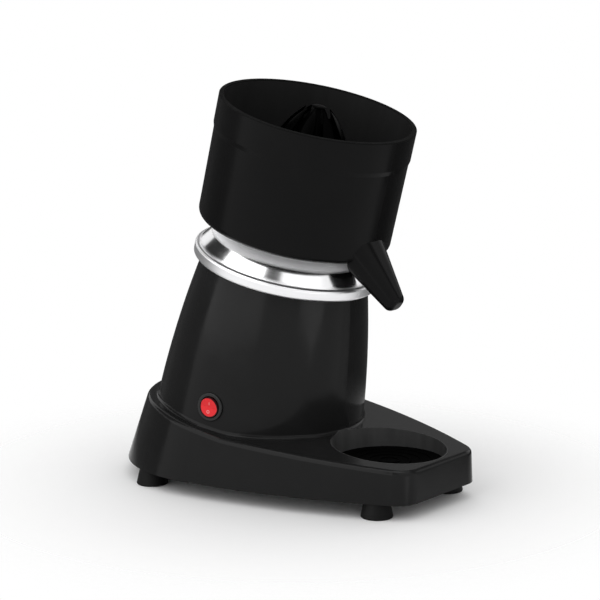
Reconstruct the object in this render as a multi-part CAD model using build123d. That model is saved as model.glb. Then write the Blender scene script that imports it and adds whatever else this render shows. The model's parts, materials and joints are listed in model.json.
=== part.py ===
from build123d import *
import math
import os

# Electric citrus juicer, millimetres. +X points to the spout, +Z up. The origin lies on the floor under the
# middle of the base. Motor, collar, bowl and reamer share one axis that leans forward.

# Base seen from above: round rear end, slightly bowed sides, narrow front end with rounded corners
BASE_LENGTH = 319.6
BASE_REAR_RADIUS = 108.5
BASE_SIDE_RADIUS = 560.0
BASE_FRONT_WIDTH = 117.6
BASE_CORNER_RADIUS = 21.0
BASE_REAR_LEAN = 20.0
BASE_SIDE_DRAFT = 8.3
BASE_FRONT_DRAFT = 1.0
BASE_CORNER_DRAFT = 2.8
BASE_EDGE_ROUND = 4.0

# Deck seen from the side: nearly level rear, slope beside the tower, gently falling front.
# Step distances are measured from the rear end of the base.
DECK_REAR_HEIGHT = 77.0
DECK_STEP_TOP_DISTANCE = 81.5
DECK_STEP_TOP_HEIGHT = 70.0
DECK_STEP_FOOT_DISTANCE = 155.0
DECK_STEP_FOOT_HEIGHT = 55.5
DECK_FRONT_HEIGHT = 42.2
DECK_STEP_TOP_ROUND = 200.0
DECK_STEP_FOOT_ROUND = 100.0

# Walls of the moulding
HOUSING_WALL = 3.5
DECK_THICKNESS = 3.2

# Cup recess in the front deck
RECESS_FRONT_LAND = 7.2
RECESS_RADIUS = 49.2
RECESS_FLOOR_HEIGHT = 31.5
RECESS_WALL_TAPER = 4.0
RECESS_WALL = 3.0
MAT_THICKNESS = 2.0
MAT_CLEARANCE = 0.8
MAT_RIB_HEIGHT = 0.8
MAT_RIB_WIDTH = 1.6
MAT_RIB_COUNT = 4

# Feet and bottom plate
FOOT_HEIGHT = 13.8
FOOT_TOP_RADIUS = 11.0
FOOT_BOTTOM_RADIUS = 14.0
FOOT_EDGE_ROUND = 1.2
REAR_FOOT_INSET = 11.1
REAR_FOOT_BEARING = 111.7
FRONT_FOOT_INSET = 31.2
FRONT_FOOT_SIDE_INSET = 7.5
PLATE_THICKNESS = 2.0
PLATE_CLEARANCE = 0.4
PLATE_SCREW_DISTANCE = 184.5
PLATE_SCREW_SIDE_INSET = 24.5
BOSS_RADIUS = 6.0
VENT_COUNT = 9
VENT_WIDTH = 4.0
VENT_LENGTH = 60.0
VENT_PITCH = 10.0

# Screws
SCREW_RADIUS = 2.0
SCREW_HEAD_RADIUS = 4.0
SCREW_HEAD_HEIGHT = 3.0
SCREW_CLEARANCE = 0.15
SCREW_END_ROOM = 1.0
FOOT_HEAD_DEPTH = 4.0
FOOT_SCREW_LENGTH = 26.0
PLATE_SCREW_LENGTH = 16.0
COLLAR_SCREW_CIRCLE_RADIUS = 64.2
COLLAR_SCREW_LENGTH = 13.0
MOTOR_SCREW_CIRCLE_RADIUS = 38.0

# Leaning axis of motor, collar, bowl and reamer; levels along it are measured from its point on the floor,
# which lies a little behind the tower's
AXIS_SETBACK = 6.6
AXIS_LEAN = 14.25

# Motor tower: a bowed cone that leans a little less, cut off square to the leaning axis at its top
TOWER_DISTANCE = 109.1
TOWER_LEAN = 12.0
TOWER_FLOOR_RADIUS = 93.8
TOWER_FOOT_LEVEL = 30.0
TOWER_TOP_LEVEL = 194.5
TOWER_TOP_RADIUS = 73.0
TOWER_TRIM_HEIGHT = 12.0
TOWER_CREASE_ROUND = 3.0
TOWER_FLANGE_THICKNESS = 4.0
TOWER_MOUTH_RADIUS = 58.5

# Polished collar
GASKET_THICKNESS = 1.0
GASKET_INSET = 3.0
COLLAR_LIP_RADIUS = 82.0
COLLAR_LIP_HEIGHT = 10.0
COLLAR_LIP_ROUND = 2.2
COLLAR_LIP_STEP = 3.2
COLLAR_LEDGE_ROUND = 2.0
COLLAR_TOP_RADIUS = 59.4
COLLAR_HEIGHT = 34.5
COLLAR_WEB_THICKNESS = 6.0
COLLAR_HUB_RADIUS = 16.0
COLLAR_HUB_RISE_HEIGHT = 14.0
COLLAR_HUB_DROP_HEIGHT = 14.0
COLLAR_HUB_FLATS_WIDTH = 27.0
SEAL_RADIUS = 11.0
SEAL_HEIGHT = 7.0
SEAL_LIP_HEIGHT = 1.75

# Bowl
BOWL_HEIGHT = 109.3
BOWL_FOOT_RADIUS = 84.6
BOWL_RIM_RADIUS = 86.0
BOWL_BAND_HEIGHT = 26.0
BOWL_BAND_STEP = 1.0
BOWL_BAND_SLOPE_HEIGHT = 4.0
BOWL_RIM_ROUND = 0.8
BOWL_WALL = 2.6
BOWL_FLOOR = 3.5
BOWL_EDGE_ROUND = 7.0
BOWL_LEDGE_HEIGHT = 32.0
BOWL_LEDGE_WIDTH = 2.0
CHIMNEY_HEIGHT = 50.0
CHIMNEY_WALL = 3.0
CHIMNEY_CLEARANCE = 0.4
CHIMNEY_END_ROOM = 1.0

# Spout: a tapered closed nose at the front foot of the bowl, with its outlet on the underside
SPOUT_ROOT_DEPTH = 7.6
SPOUT_ROOT_SINK = 11.5
SPOUT_ROOT_WIDTH = 45.0
SPOUT_ROOT_HEIGHT = 39.0
SPOUT_REACH = 44.6
SPOUT_DROP = 33.6
SPOUT_DIP = 22.0
SPOUT_TIP_WIDTH = 16.5
SPOUT_TIP_HEIGHT = 16.0
SPOUT_CORNER_SHARE = 0.44
SPOUT_NOSE_ROUND = 6.0
SPOUT_WALL = 2.4
SPOUT_OUTLET_RADIUS = 5.2

# Strainer
STRAINER_THICKNESS = 1.6
STRAINER_CLEARANCE = 0.6
STRAINER_LIP_HEIGHT = 5.0
STRAINER_LIP_WIDTH = 1.6
STRAINER_SLOT_WIDTH = 1.8
STRAINER_SLOT_LENGTH = 11.0
STRAINER_SLOT_PITCH = 6.5
STRAINER_ROW_RADIUS = 34.0
STRAINER_ROW_PITCH = 15.0
STRAINER_ROW_COUNT = 3

# Reamer
REAMER_RADIUS = 38.0
REAMER_BOTTOM_LEVEL = 272.0
REAMER_SKIRT_HEIGHT = 14.0
REAMER_TIP_LEVEL = 343.0
REAMER_TIP_RADIUS = 9.0
REAMER_TIP_ROUND = 16.0
REAMER_BULGE = 6.0
REAMER_WALL = 3.0
REAMER_FLUTES = 8
REAMER_FLUTE_FOOT_RADIUS = 11.0
REAMER_FLUTE_TIP_RADIUS = 4.0
REAMER_FLUTE_DEPTH = 6.0
REAMER_FLUTE_GAP = 3.0
REAMER_HUB_RADIUS = 13.5
REAMER_HUB_LEVEL = 283.0

# Motor on the leaning axis
SHAFT_RADIUS = 6.0
SHAFT_SEAT_RADIUS = 7.5
SHAFT_CORE_RADIUS = 8.5
SHAFT_BOTTOM_LEVEL = 50.0
SHAFT_TOP_LEVEL = 303.0
SHAFT_CHAMFER = 1.0
SHAFT_CLEARANCE = 0.3
RUNNING_CLEARANCE = 0.05
DRIVE_PIN_RADIUS = 2.0
DRIVE_PIN_LENGTH = 21.0
DRIVE_PIN_LEVEL = 290.0
BEARING_RADIUS = 17.5
BEARING_WIDTH = 11.0
BEARING_RACE_WIDTH = 3.2
BEARING_GROOVE_DEPTH = 1.4
SHIELD_TOP_LEVEL = 206.0
SHIELD_PLATE_THICKNESS = 10.0
SHIELD_WALL = 9.0
SHIELD_HEIGHT = 46.0
SHIELD_HUB_WALL = 5.0
SHIELD_STOP_THICKNESS = 2.0
SHIELD_BORE_CLEARANCE = 1.0
STATOR_RADIUS = 56.0
STATOR_LENGTH = 48.0
AIR_GAP = 0.5
ROTOR_RADIUS = 30.0
ROTOR_LENGTH = 46.0
CROWN_INNER_RADIUS = 33.0
CROWN_OUTER_RADIUS = 45.0
CROWN_HEIGHT = 18.0
CROWN_ROUND = 3.0
TIE_BOLT_RADIUS = 2.0
TIE_BOLT_CIRCLE_RADIUS = 51.5
FAN_RADIUS = 46.0
FAN_HUB_RADIUS = 11.0
FAN_HEIGHT = 11.0
FAN_DROP = 4.0
FAN_BLADES = 7
FAN_BLADE_THICKNESS = 2.0

# Electrical parts on the bottom plate
CAPACITOR_DISTANCE = 40.5
CAPACITOR_RADIUS = 17.0
CAPACITOR_HEIGHT = 42.0
CAPACITOR_ROUND = 2.1
CLIP_WALL = 1.5
CLIP_HEIGHT = 12.0
CLIP_FOOT_LENGTH = 12.0
TERMINAL_BLOCK_DISTANCE = 120.5
TERMINAL_BLOCK_SIDE_INSET = 50.5
TERMINAL_BLOCK_LENGTH = 46.0
TERMINAL_BLOCK_WIDTH = 18.0
TERMINAL_BLOCK_HEIGHT = 15.0
TERMINAL_WAYS = 4
TERMINAL_WELL_RADIUS = 2.9
TERMINAL_WELL_DEPTH = 7.5

# Cable gland in the rear wall
GLAND_BEARING = 140.0
GLAND_HEIGHT = 34.0
GLAND_BOSS_RADIUS = 12.0
GLAND_BOSS_PROUD = 5.0
GLAND_BOSS_DEPTH = 10.0
GLAND_THREAD_RADIUS = 8.0
GLAND_BORE_RADIUS = 4.0
GLAND_HEX_RADIUS = 11.0
GLAND_HEX_LENGTH = 7.0
GLAND_DOME_LENGTH = 5.0
GLAND_LIP_WALL = 1.0
GLAND_THREAD_END = 2.0
LOCKNUT_THICKNESS = 4.0

# Round rocker switch low on the right side of the tower
SWITCH_BEARING = -82.0
SWITCH_LEVEL = 83.0
SWITCH_BEZEL_RADIUS = 12.3
SWITCH_BEZEL_HEIGHT = 2.6
SWITCH_BEZEL_ROUND = 0.9
SWITCH_SPOT_DEPTH = 1.2
SWITCH_BARREL_RADIUS = 10.4
SWITCH_BARREL_DEPTH = 16.0
SWITCH_POCKET_DEPTH = 8.0
SWITCH_MOUTH_RADIUS = 9.6
SWITCH_HOLE_CLEARANCE = 0.2
ROCKER_RADIUS = 9.1
ROCKER_TILT = 8.0
ROCKER_CROWN = 2.2
ROCKER_DEPTH = 4.5
PIVOT_HEIGHT = 1.0
PIVOT_RADIUS = 0.9
PIVOT_CLEARANCE = 0.1
BLADE_WIDTH = 4.8
BLADE_THICKNESS = 0.8
BLADE_LENGTH = 7.0
BLADE_SPACING = 5.5

# Derived levels
REAR_X = -BASE_LENGTH / 2
FRONT_X = BASE_LENGTH / 2
DECK_STEP_TOP_X = REAR_X + DECK_STEP_TOP_DISTANCE
DECK_STEP_FOOT_X = REAR_X + DECK_STEP_FOOT_DISTANCE
RECESS_X = FRONT_X - RECESS_FRONT_LAND - RECESS_RADIUS
REAR_FOOT_CIRCLE_RADIUS = BASE_REAR_RADIUS - REAR_FOOT_INSET
REAR_FOOT_X = REAR_X + BASE_REAR_RADIUS + REAR_FOOT_CIRCLE_RADIUS * math.cos(math.radians(REAR_FOOT_BEARING))
REAR_FOOT_Y = REAR_FOOT_CIRCLE_RADIUS * math.sin(math.radians(REAR_FOOT_BEARING))
FRONT_FOOT_X = FRONT_X - FRONT_FOOT_INSET
FRONT_FOOT_Y = BASE_FRONT_WIDTH / 2 - FRONT_FOOT_SIDE_INSET
PLATE_SCREW_X = REAR_X + PLATE_SCREW_DISTANCE
PLATE_SCREW_Y = BASE_REAR_RADIUS - PLATE_SCREW_SIDE_INSET
CAPACITOR_X = REAR_X + CAPACITOR_DISTANCE
TERMINAL_BLOCK_X = REAR_X + TERMINAL_BLOCK_DISTANCE
TERMINAL_BLOCK_Y = BASE_REAR_RADIUS - TERMINAL_BLOCK_SIDE_INSET
AXIS_FOOT_X = REAR_X + (TOWER_DISTANCE - AXIS_SETBACK)
TOWER_FOOT_X = REAR_X + TOWER_DISTANCE
COLLAR_BOTTOM = TOWER_TOP_LEVEL + GASKET_THICKNESS
COLLAR_TOP = COLLAR_BOTTOM + COLLAR_HEIGHT
BOWL_RIM_LEVEL = COLLAR_TOP + BOWL_HEIGHT
LEDGE_LEVEL = COLLAR_TOP + BOWL_LEDGE_HEIGHT
CHIMNEY_BORE = COLLAR_HUB_RADIUS + CHIMNEY_CLEARANCE
CHIMNEY_RADIUS = CHIMNEY_BORE + CHIMNEY_WALL
PLATE_TOP = FOOT_HEIGHT + PLATE_THICKNESS
STATOR_TOP = SHIELD_TOP_LEVEL - SHIELD_HEIGHT
STATOR_BOTTOM = STATOR_TOP - STATOR_LENGTH
SHIELD_BOTTOM_LEVEL = STATOR_BOTTOM - SHIELD_HEIGHT
UPPER_BEARING_LEVEL = SHIELD_TOP_LEVEL - SHIELD_STOP_THICKNESS - BEARING_WIDTH
LOWER_BEARING_LEVEL = SHIELD_BOTTOM_LEVEL + SHIELD_STOP_THICKNESS
REACH = 2 * BASE_LENGTH
SAME_PLACE = 1e-6

AXIS_FRAME = Location((AXIS_FOOT_X, 0, 0), (0, AXIS_LEAN, 0))
TOWER_FRAME = Location((TOWER_FOOT_X, 0, 0), (0, TOWER_LEAN, 0))
QUARTERS = (45, 135, 225, 315)
UPRIGHT = (Align.CENTER, Align.CENTER, Align.MIN)


def tan(degrees):
    return math.tan(math.radians(degrees))


def turned(points):
    """A solid of revolution about Z from corner points (radius, level)."""
    return revolve(Plane.XZ * make_face(Polyline(*points, close=True)), Axis.Z)


def ring(inner, outer, bottom, top):
    return turned([(inner, bottom), (outer, bottom), (outer, top), (inner, top)])


def rod(radius, bottom, top):
    return Pos(0, 0, bottom) * Cylinder(radius, top - bottom, align=UPRIGHT)


def around(part, radius, bearings):
    """Copies of a part on a circle about Z, one at each bearing."""
    return [Rot(0, 0, bearing) * Pos(radius, 0, 0) * part for bearing in bearings]


def evenly(count):
    """Equally spaced bearings of a full turn."""
    return [360 * index / count for index in range(count)]


def screw(length):
    """A pan head screw pointing up, with its head seat at level zero."""
    return rod(SCREW_HEAD_RADIUS, -SCREW_HEAD_HEIGHT, 0) + rod(SCREW_RADIUS, 0, length)


def on_axis(part):
    return AXIS_FRAME * part


# Base outline


def side_centre(rear, rear_radius, corner, corner_radius, side_radius):
    """Centre of the side arc that touches the rear circle and the front corner circle from outside."""
    to_rear = side_radius - rear_radius
    to_corner = side_radius - corner_radius
    span = corner - rear
    gap = span.length
    along = (to_rear**2 - to_corner**2 + gap**2) / (2 * gap)
    aside = math.sqrt(to_rear**2 - along**2)
    unit = span / gap
    return rear + unit * along + Vector(-unit.Y, unit.X) * aside


def base_outline(level, inset):
    """Outline face of the base at a height, drawn in from the outer wall by the inset."""
    rise = level - FOOT_HEIGHT
    full_rear_radius = BASE_REAR_RADIUS - rise * tan(BASE_SIDE_DRAFT)
    rear = Vector(REAR_X + rise * tan(BASE_REAR_LEAN) + full_rear_radius, 0)
    front_x = FRONT_X - rise * tan(BASE_FRONT_DRAFT)
    corner_y = BASE_FRONT_WIDTH / 2 - rise * tan(BASE_CORNER_DRAFT) - BASE_CORNER_RADIUS
    corner = Vector(front_x - BASE_CORNER_RADIUS, -corner_y)
    centre = side_centre(rear, full_rear_radius, corner, BASE_CORNER_RADIUS, BASE_SIDE_RADIUS)
    radius = BASE_SIDE_RADIUS - inset
    corner_radius = BASE_CORNER_RADIUS - inset
    side_start = centre + (rear - centre).normalized() * radius
    side_end = centre + (corner - centre).normalized() * radius
    side_middle = centre + ((side_start + side_end) * 0.5 - centre).normalized() * radius
    corner_end = corner + Vector(corner_radius, 0)
    corner_middle = corner + ((side_end + corner_end) * 0.5 - corner).normalized() * corner_radius
    rear_end = rear - Vector(full_rear_radius - inset, 0)

    def across(point):
        return Vector(point.X, -point.Y)

    edges = [
        ThreePointArc(across(side_start), rear_end, side_start),
        ThreePointArc(side_start, side_middle, side_end),
        ThreePointArc(side_end, corner_middle, corner_end),
        Line(corner_end, across(corner_end)),
        ThreePointArc(across(corner_end), across(corner_middle), across(side_end)),
        ThreePointArc(across(side_end), across(side_middle), across(side_start)),
    ]
    return Pos(0, 0, level) * make_face(edges)


def base_block(inset, bottom, top):
    """The leaning base walls as a solid between two heights."""
    return loft([base_outline(bottom, inset), base_outline(top, inset)], ruled=True)


def below_deck(drop):
    """Everything under the deck surface, lowered by the drop."""
    fall = (DECK_STEP_FOOT_HEIGHT - DECK_FRONT_HEIGHT) / (FRONT_X - DECK_STEP_FOOT_X)
    front_x = FRONT_X + BASE_CORNER_RADIUS
    front_height = DECK_FRONT_HEIGHT - fall * BASE_CORNER_RADIUS
    rear_fall = (DECK_REAR_HEIGHT - DECK_STEP_TOP_HEIGHT) / DECK_STEP_TOP_DISTANCE
    rear_x = REAR_X - BASE_CORNER_RADIUS
    rear_height = DECK_REAR_HEIGHT + rear_fall * BASE_CORNER_RADIUS
    step_top = (DECK_STEP_TOP_X, DECK_STEP_TOP_HEIGHT - drop)
    step_foot = (DECK_STEP_FOOT_X, DECK_STEP_FOOT_HEIGHT - drop)
    profile = make_face(
        Polyline(
            (rear_x, 0),
            (rear_x, rear_height - drop),
            step_top,
            step_foot,
            (front_x, front_height - drop),
            (front_x, 0),
            close=True,
        )
    )
    for corner, radius in ((step_top, DECK_STEP_TOP_ROUND), (step_foot, DECK_STEP_FOOT_ROUND)):
        nearest = profile.vertices().sort_by_distance((corner[0], corner[1], 0))[0]
        profile = fillet(nearest, radius)
    return extrude(Plane.XZ * profile, BASE_LENGTH, both=True)


def tower_bow():
    """Radius of the arc that draws the tower wall in between floor and top."""
    narrowing = TOWER_FLOOR_RADIUS - TOWER_TOP_RADIUS
    return (narrowing**2 + TOWER_TOP_LEVEL**2) / (2 * narrowing)


def tower_radius(level):
    """Radius of the bowed tower wall, which stands along its axis at the floor."""
    bow = tower_bow()
    return TOWER_FLOOR_RADIUS - bow + math.sqrt(bow**2 - level**2)


def tower_solid(inset, top):
    """The tower with its wall drawn in by the inset, cut off square to the leaning axis at a level."""
    head_level = TOWER_TOP_LEVEL + TOWER_TRIM_HEIGHT
    middle_level = (TOWER_FOOT_LEVEL + head_level) / 2
    foot, middle, head = [
        (tower_radius(level) - inset, level) for level in (TOWER_FOOT_LEVEL, middle_level, head_level)
    ]
    edges = [
        Line((0, TOWER_FOOT_LEVEL), foot),
        ThreePointArc(foot, middle, head),
        Line(head, (0, head_level)),
        Line((0, head_level), (0, TOWER_FOOT_LEVEL)),
    ]
    cone = TOWER_FRAME * revolve(Plane.XZ * make_face(edges), Axis.Z)
    return cone & on_axis(rod(REACH, -REACH, top))


# Housing


def deck_rim(solid):
    """The edges where the deck meets the outer wall."""
    rim = []
    for edge in solid.edges():
        box = edge.bounding_box()
        centre = edge.center()
        crosses = abs(centre.Y) < BASE_EDGE_ROUND and REAR_X / 2 < centre.X < FRONT_X - BASE_CORNER_RADIUS
        if box.min.Z > FOOT_HEIGHT + BASE_EDGE_ROUND and not crosses:
            rim.append(edge)
    return rim


def recess_radius(height):
    """Radius of the tapered cup recess at a height."""
    return RECESS_RADIUS + (height - DECK_FRONT_HEIGHT) * tan(RECESS_WALL_TAPER)


def recess_cone(bottom, top, wall):
    """The tapered cup recess, grown by a wall."""
    cone = Cone(recess_radius(bottom) + wall, recess_radius(top) + wall, top - bottom, align=UPRIGHT)
    return Pos(RECESS_X, 0, bottom) * cone


def foot_places():
    return {
        "foot_rear_right": (REAR_FOOT_X, -REAR_FOOT_Y),
        "foot_rear_left": (REAR_FOOT_X, REAR_FOOT_Y),
        "foot_front_right": (FRONT_FOOT_X, -FRONT_FOOT_Y),
        "foot_front_left": (FRONT_FOOT_X, FRONT_FOOT_Y),
    }


def plate_screw_places():
    return [(PLATE_SCREW_X, -PLATE_SCREW_Y), (PLATE_SCREW_X, PLATE_SCREW_Y)]


def gland_frame():
    """Frame on the rear wall: Z points outwards, level with the floor, origin on the wall."""
    rise = GLAND_HEIGHT - FOOT_HEIGHT
    radius = BASE_REAR_RADIUS - rise * tan(BASE_SIDE_DRAFT)
    centre_x = REAR_X + rise * tan(BASE_REAR_LEAN) + radius
    return Pos(centre_x, 0, GLAND_HEIGHT) * Rot(0, 0, GLAND_BEARING) * Pos(radius, 0, 0) * Rot(0, 90, 0)


def switch_frame():
    """Frame on the tower wall: Z points out of the wall, X down the wall, origin on the bezel's seat."""
    slope = math.degrees(math.asin(SWITCH_LEVEL / tower_bow()))
    wall = Pos(tower_radius(SWITCH_LEVEL), 0, SWITCH_LEVEL) * Rot(0, 90 - slope, 0)
    return TOWER_FRAME * Rot(0, 0, SWITCH_BEARING) * wall * Pos(0, 0, -SWITCH_SPOT_DEPTH)


def make_housing():
    base = base_block(0, FOOT_HEIGHT, DECK_REAR_HEIGHT + BASE_EDGE_ROUND) & below_deck(0)
    base = fillet(deck_rim(base), BASE_EDGE_ROUND)
    tower = tower_solid(0, TOWER_TOP_LEVEL) & above_floor(PLATE_TOP)
    shape = base + tower
    shape = fillet(new_edges(base, tower, combined=shape), TOWER_CREASE_ROUND)

    hollow = base_block(HOUSING_WALL, FOOT_HEIGHT, DECK_REAR_HEIGHT) & below_deck(DECK_THICKNESS)
    hollow += tower_solid(HOUSING_WALL, TOWER_TOP_LEVEL - TOWER_FLANGE_THICKNESS)
    hollow -= recess_cone(RECESS_FLOOR_HEIGHT - RECESS_WALL, DECK_STEP_FOOT_HEIGHT, RECESS_WALL)
    hollow += on_axis(rod(TOWER_MOUTH_RADIUS, TOWER_TOP_LEVEL - 2 * TOWER_FLANGE_THICKNESS, TOWER_TOP_LEVEL))
    body = shape - hollow

    for x, y in boss_places():
        body += Pos(x, y, 0) * rod(BOSS_RADIUS, PLATE_TOP, DECK_REAR_HEIGHT) & shape
    body += gland_frame() * rod(GLAND_BOSS_RADIUS, -GLAND_BOSS_DEPTH, GLAND_BOSS_PROUD)

    body -= recess_cone(RECESS_FLOOR_HEIGHT, DECK_STEP_FOOT_HEIGHT, 0)
    hole = SCREW_RADIUS + SCREW_CLEARANCE
    for x, y in foot_places().values():
        body -= Pos(x, y, 0) * rod(hole, FOOT_HEIGHT, FOOT_HEAD_DEPTH + FOOT_SCREW_LENGTH + SCREW_END_ROOM)
    for x, y in plate_screw_places():
        body -= Pos(x, y, 0) * rod(hole, FOOT_HEIGHT, FOOT_HEIGHT + PLATE_SCREW_LENGTH + SCREW_END_ROOM)
    flange = rod(hole, TOWER_TOP_LEVEL - TOWER_FLANGE_THICKNESS, TOWER_TOP_LEVEL)
    for cut in around(flange, COLLAR_SCREW_CIRCLE_RADIUS, QUARTERS):
        body -= on_axis(cut)
    body -= gland_frame() * rod(GLAND_THREAD_RADIUS + SCREW_CLEARANCE, -GLAND_BOSS_DEPTH, GLAND_BOSS_PROUD)
    body -= switch_frame() * rod(SWITCH_BEZEL_RADIUS + SWITCH_HOLE_CLEARANCE, 0, SWITCH_BEZEL_HEIGHT)
    body -= switch_frame() * rod(SWITCH_BARREL_RADIUS + SWITCH_HOLE_CLEARANCE, -SWITCH_BARREL_DEPTH, 0)
    return body


def above_floor(height):
    """Half space above a height, as a large block."""
    return Pos(0, 0, height) * Box(REACH, REACH, REACH, align=UPRIGHT)


def boss_places():
    return list(foot_places().values()) + plate_screw_places()


# Bottom plate, feet and their screws


def make_bottom_plate():
    plate = base_block(HOUSING_WALL + PLATE_CLEARANCE, FOOT_HEIGHT, PLATE_TOP)
    hole = rod(SCREW_RADIUS + SCREW_CLEARANCE, FOOT_HEIGHT, PLATE_TOP)
    for x, y in boss_places():
        plate -= Pos(x, y, 0) * hole
    vent = extrude(SlotOverall(VENT_LENGTH, VENT_WIDTH, rotation=90), PLATE_THICKNESS)
    for index in range(VENT_COUNT):
        offset = (index - (VENT_COUNT - 1) / 2) * VENT_PITCH
        plate -= Pos(AXIS_FOOT_X + offset, 0, FOOT_HEIGHT) * vent
    return plate


def make_foot():
    outline = make_face(
        Polyline(
            (0, 0),
            (FOOT_BOTTOM_RADIUS, 0),
            (FOOT_TOP_RADIUS, FOOT_HEIGHT),
            (0, FOOT_HEIGHT),
            close=True,
        )
    )
    corner = outline.vertices().sort_by_distance((FOOT_BOTTOM_RADIUS, 0, 0))[0]
    solid = revolve(Plane.XZ * fillet(corner, FOOT_EDGE_ROUND), Axis.Z)
    solid -= rod(SCREW_HEAD_RADIUS + SCREW_CLEARANCE, 0, FOOT_HEAD_DEPTH)
    return solid - rod(SCREW_RADIUS + SCREW_CLEARANCE, 0, FOOT_HEIGHT)


def make_foot_screws():
    one = Pos(0, 0, FOOT_HEAD_DEPTH) * screw(FOOT_SCREW_LENGTH)
    return [Pos(x, y, 0) * one for x, y in foot_places().values()]


def make_plate_screws():
    one = Pos(0, 0, FOOT_HEIGHT) * screw(PLATE_SCREW_LENGTH)
    return [Pos(x, y, 0) * one for x, y in plate_screw_places()]


# Mat in the cup recess


def make_drip_mat():
    radius = recess_radius(RECESS_FLOOR_HEIGHT) - MAT_CLEARANCE
    mat = rod(radius, 0, MAT_THICKNESS)
    for index in range(MAT_RIB_COUNT):
        outer = radius * (index + 1) / (MAT_RIB_COUNT + 1)
        mat += ring(outer - MAT_RIB_WIDTH, outer, MAT_THICKNESS, MAT_THICKNESS + MAT_RIB_HEIGHT)
    return Pos(RECESS_X, 0, RECESS_FLOOR_HEIGHT) * mat


# Collar with its gasket, seal and screws


def collar_profile():
    """Outer profile of the collar: rounded lip, small step, polished cone up to the bowl's seat."""
    bottom = COLLAR_BOTTOM
    lip_top = bottom + COLLAR_LIP_HEIGHT
    cone_foot = COLLAR_LIP_RADIUS - COLLAR_LIP_STEP
    return [
        (TOWER_MOUTH_RADIUS, bottom),
        (COLLAR_LIP_RADIUS, bottom),
        (COLLAR_LIP_RADIUS, lip_top),
        (cone_foot, lip_top),
        (COLLAR_TOP_RADIUS, COLLAR_TOP),
        (COLLAR_HUB_RADIUS, COLLAR_TOP),
        (COLLAR_HUB_RADIUS, COLLAR_TOP - COLLAR_WEB_THICKNESS),
        (COLLAR_TOP_RADIUS - COLLAR_WEB_THICKNESS, COLLAR_TOP - COLLAR_WEB_THICKNESS),
        (TOWER_MOUTH_RADIUS, COLLAR_TOP - 2 * COLLAR_WEB_THICKNESS),
    ]


def flatted_boss(radius, flats_width, bottom, top):
    """A round boss with two flats."""
    block = Pos(0, 0, bottom) * Box(2 * radius, flats_width, top - bottom, align=UPRIGHT)
    return rod(radius, bottom, top) & block


def make_collar():
    outline = make_face(Polyline(*collar_profile(), close=True))
    lip_corners = [
        vertex
        for vertex in outline.vertices()
        if abs(vertex.X - COLLAR_LIP_RADIUS) < SAME_PLACE
    ]
    outline = fillet(lip_corners, COLLAR_LIP_ROUND)
    ledge_corner = (COLLAR_LIP_RADIUS - COLLAR_LIP_STEP, COLLAR_BOTTOM + COLLAR_LIP_HEIGHT, 0)
    ledge = outline.vertices().sort_by_distance(ledge_corner)[0]
    outline = fillet(ledge, COLLAR_LEDGE_ROUND)
    collar = revolve(Plane.XZ * outline, Axis.Z)
    hub_bottom = COLLAR_TOP - COLLAR_HUB_DROP_HEIGHT
    hub_top = COLLAR_TOP + COLLAR_HUB_RISE_HEIGHT
    collar += rod(COLLAR_HUB_RADIUS, hub_bottom, COLLAR_TOP)
    collar += flatted_boss(COLLAR_HUB_RADIUS, COLLAR_HUB_FLATS_WIDTH, COLLAR_TOP, hub_top)
    post = rod(BOSS_RADIUS, SHIELD_TOP_LEVEL, COLLAR_TOP - COLLAR_WEB_THICKNESS / 2)
    for boss in around(post, MOTOR_SCREW_CIRCLE_RADIUS, QUARTERS):
        collar += boss

    collar -= rod(SHAFT_SEAT_RADIUS, hub_bottom, hub_top)
    collar -= rod(SEAL_RADIUS, hub_top - SEAL_HEIGHT, hub_top)
    hole = SCREW_RADIUS + SCREW_CLEARANCE
    head = SCREW_HEAD_RADIUS + SCREW_CLEARANCE
    motor_hole = rod(hole, SHIELD_TOP_LEVEL, COLLAR_TOP)
    motor_hole += rod(head, COLLAR_TOP - SCREW_HEAD_HEIGHT - SCREW_CLEARANCE, COLLAR_TOP)
    for cut in around(motor_hole, MOTOR_SCREW_CIRCLE_RADIUS, QUARTERS):
        collar -= cut
    thread = rod(hole, COLLAR_BOTTOM, COLLAR_BOTTOM + COLLAR_SCREW_LENGTH - TOWER_FLANGE_THICKNESS)
    for cut in around(thread, COLLAR_SCREW_CIRCLE_RADIUS, QUARTERS):
        collar -= cut
    return on_axis(collar)


def make_gasket():
    gasket = ring(TOWER_MOUTH_RADIUS, TOWER_TOP_RADIUS - GASKET_INSET, TOWER_TOP_LEVEL, COLLAR_BOTTOM)
    hole = rod(SCREW_RADIUS + SCREW_CLEARANCE, TOWER_TOP_LEVEL, COLLAR_BOTTOM)
    for cut in around(hole, COLLAR_SCREW_CIRCLE_RADIUS, QUARTERS):
        gasket -= cut
    return on_axis(gasket)


def make_collar_screws():
    one = Pos(0, 0, TOWER_TOP_LEVEL - TOWER_FLANGE_THICKNESS) * screw(COLLAR_SCREW_LENGTH)
    return [on_axis(copy) for copy in around(one, COLLAR_SCREW_CIRCLE_RADIUS, QUARTERS)]


def make_motor_screws():
    seat = COLLAR_TOP - SCREW_HEAD_HEIGHT - SCREW_CLEARANCE
    length = seat - SHIELD_TOP_LEVEL + SHIELD_PLATE_THICKNESS - SCREW_END_ROOM
    one = Pos(0, 0, seat) * Rot(180, 0, 0) * screw(length)
    return [on_axis(copy) for copy in around(one, MOTOR_SCREW_CIRCLE_RADIUS, QUARTERS)]


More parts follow.
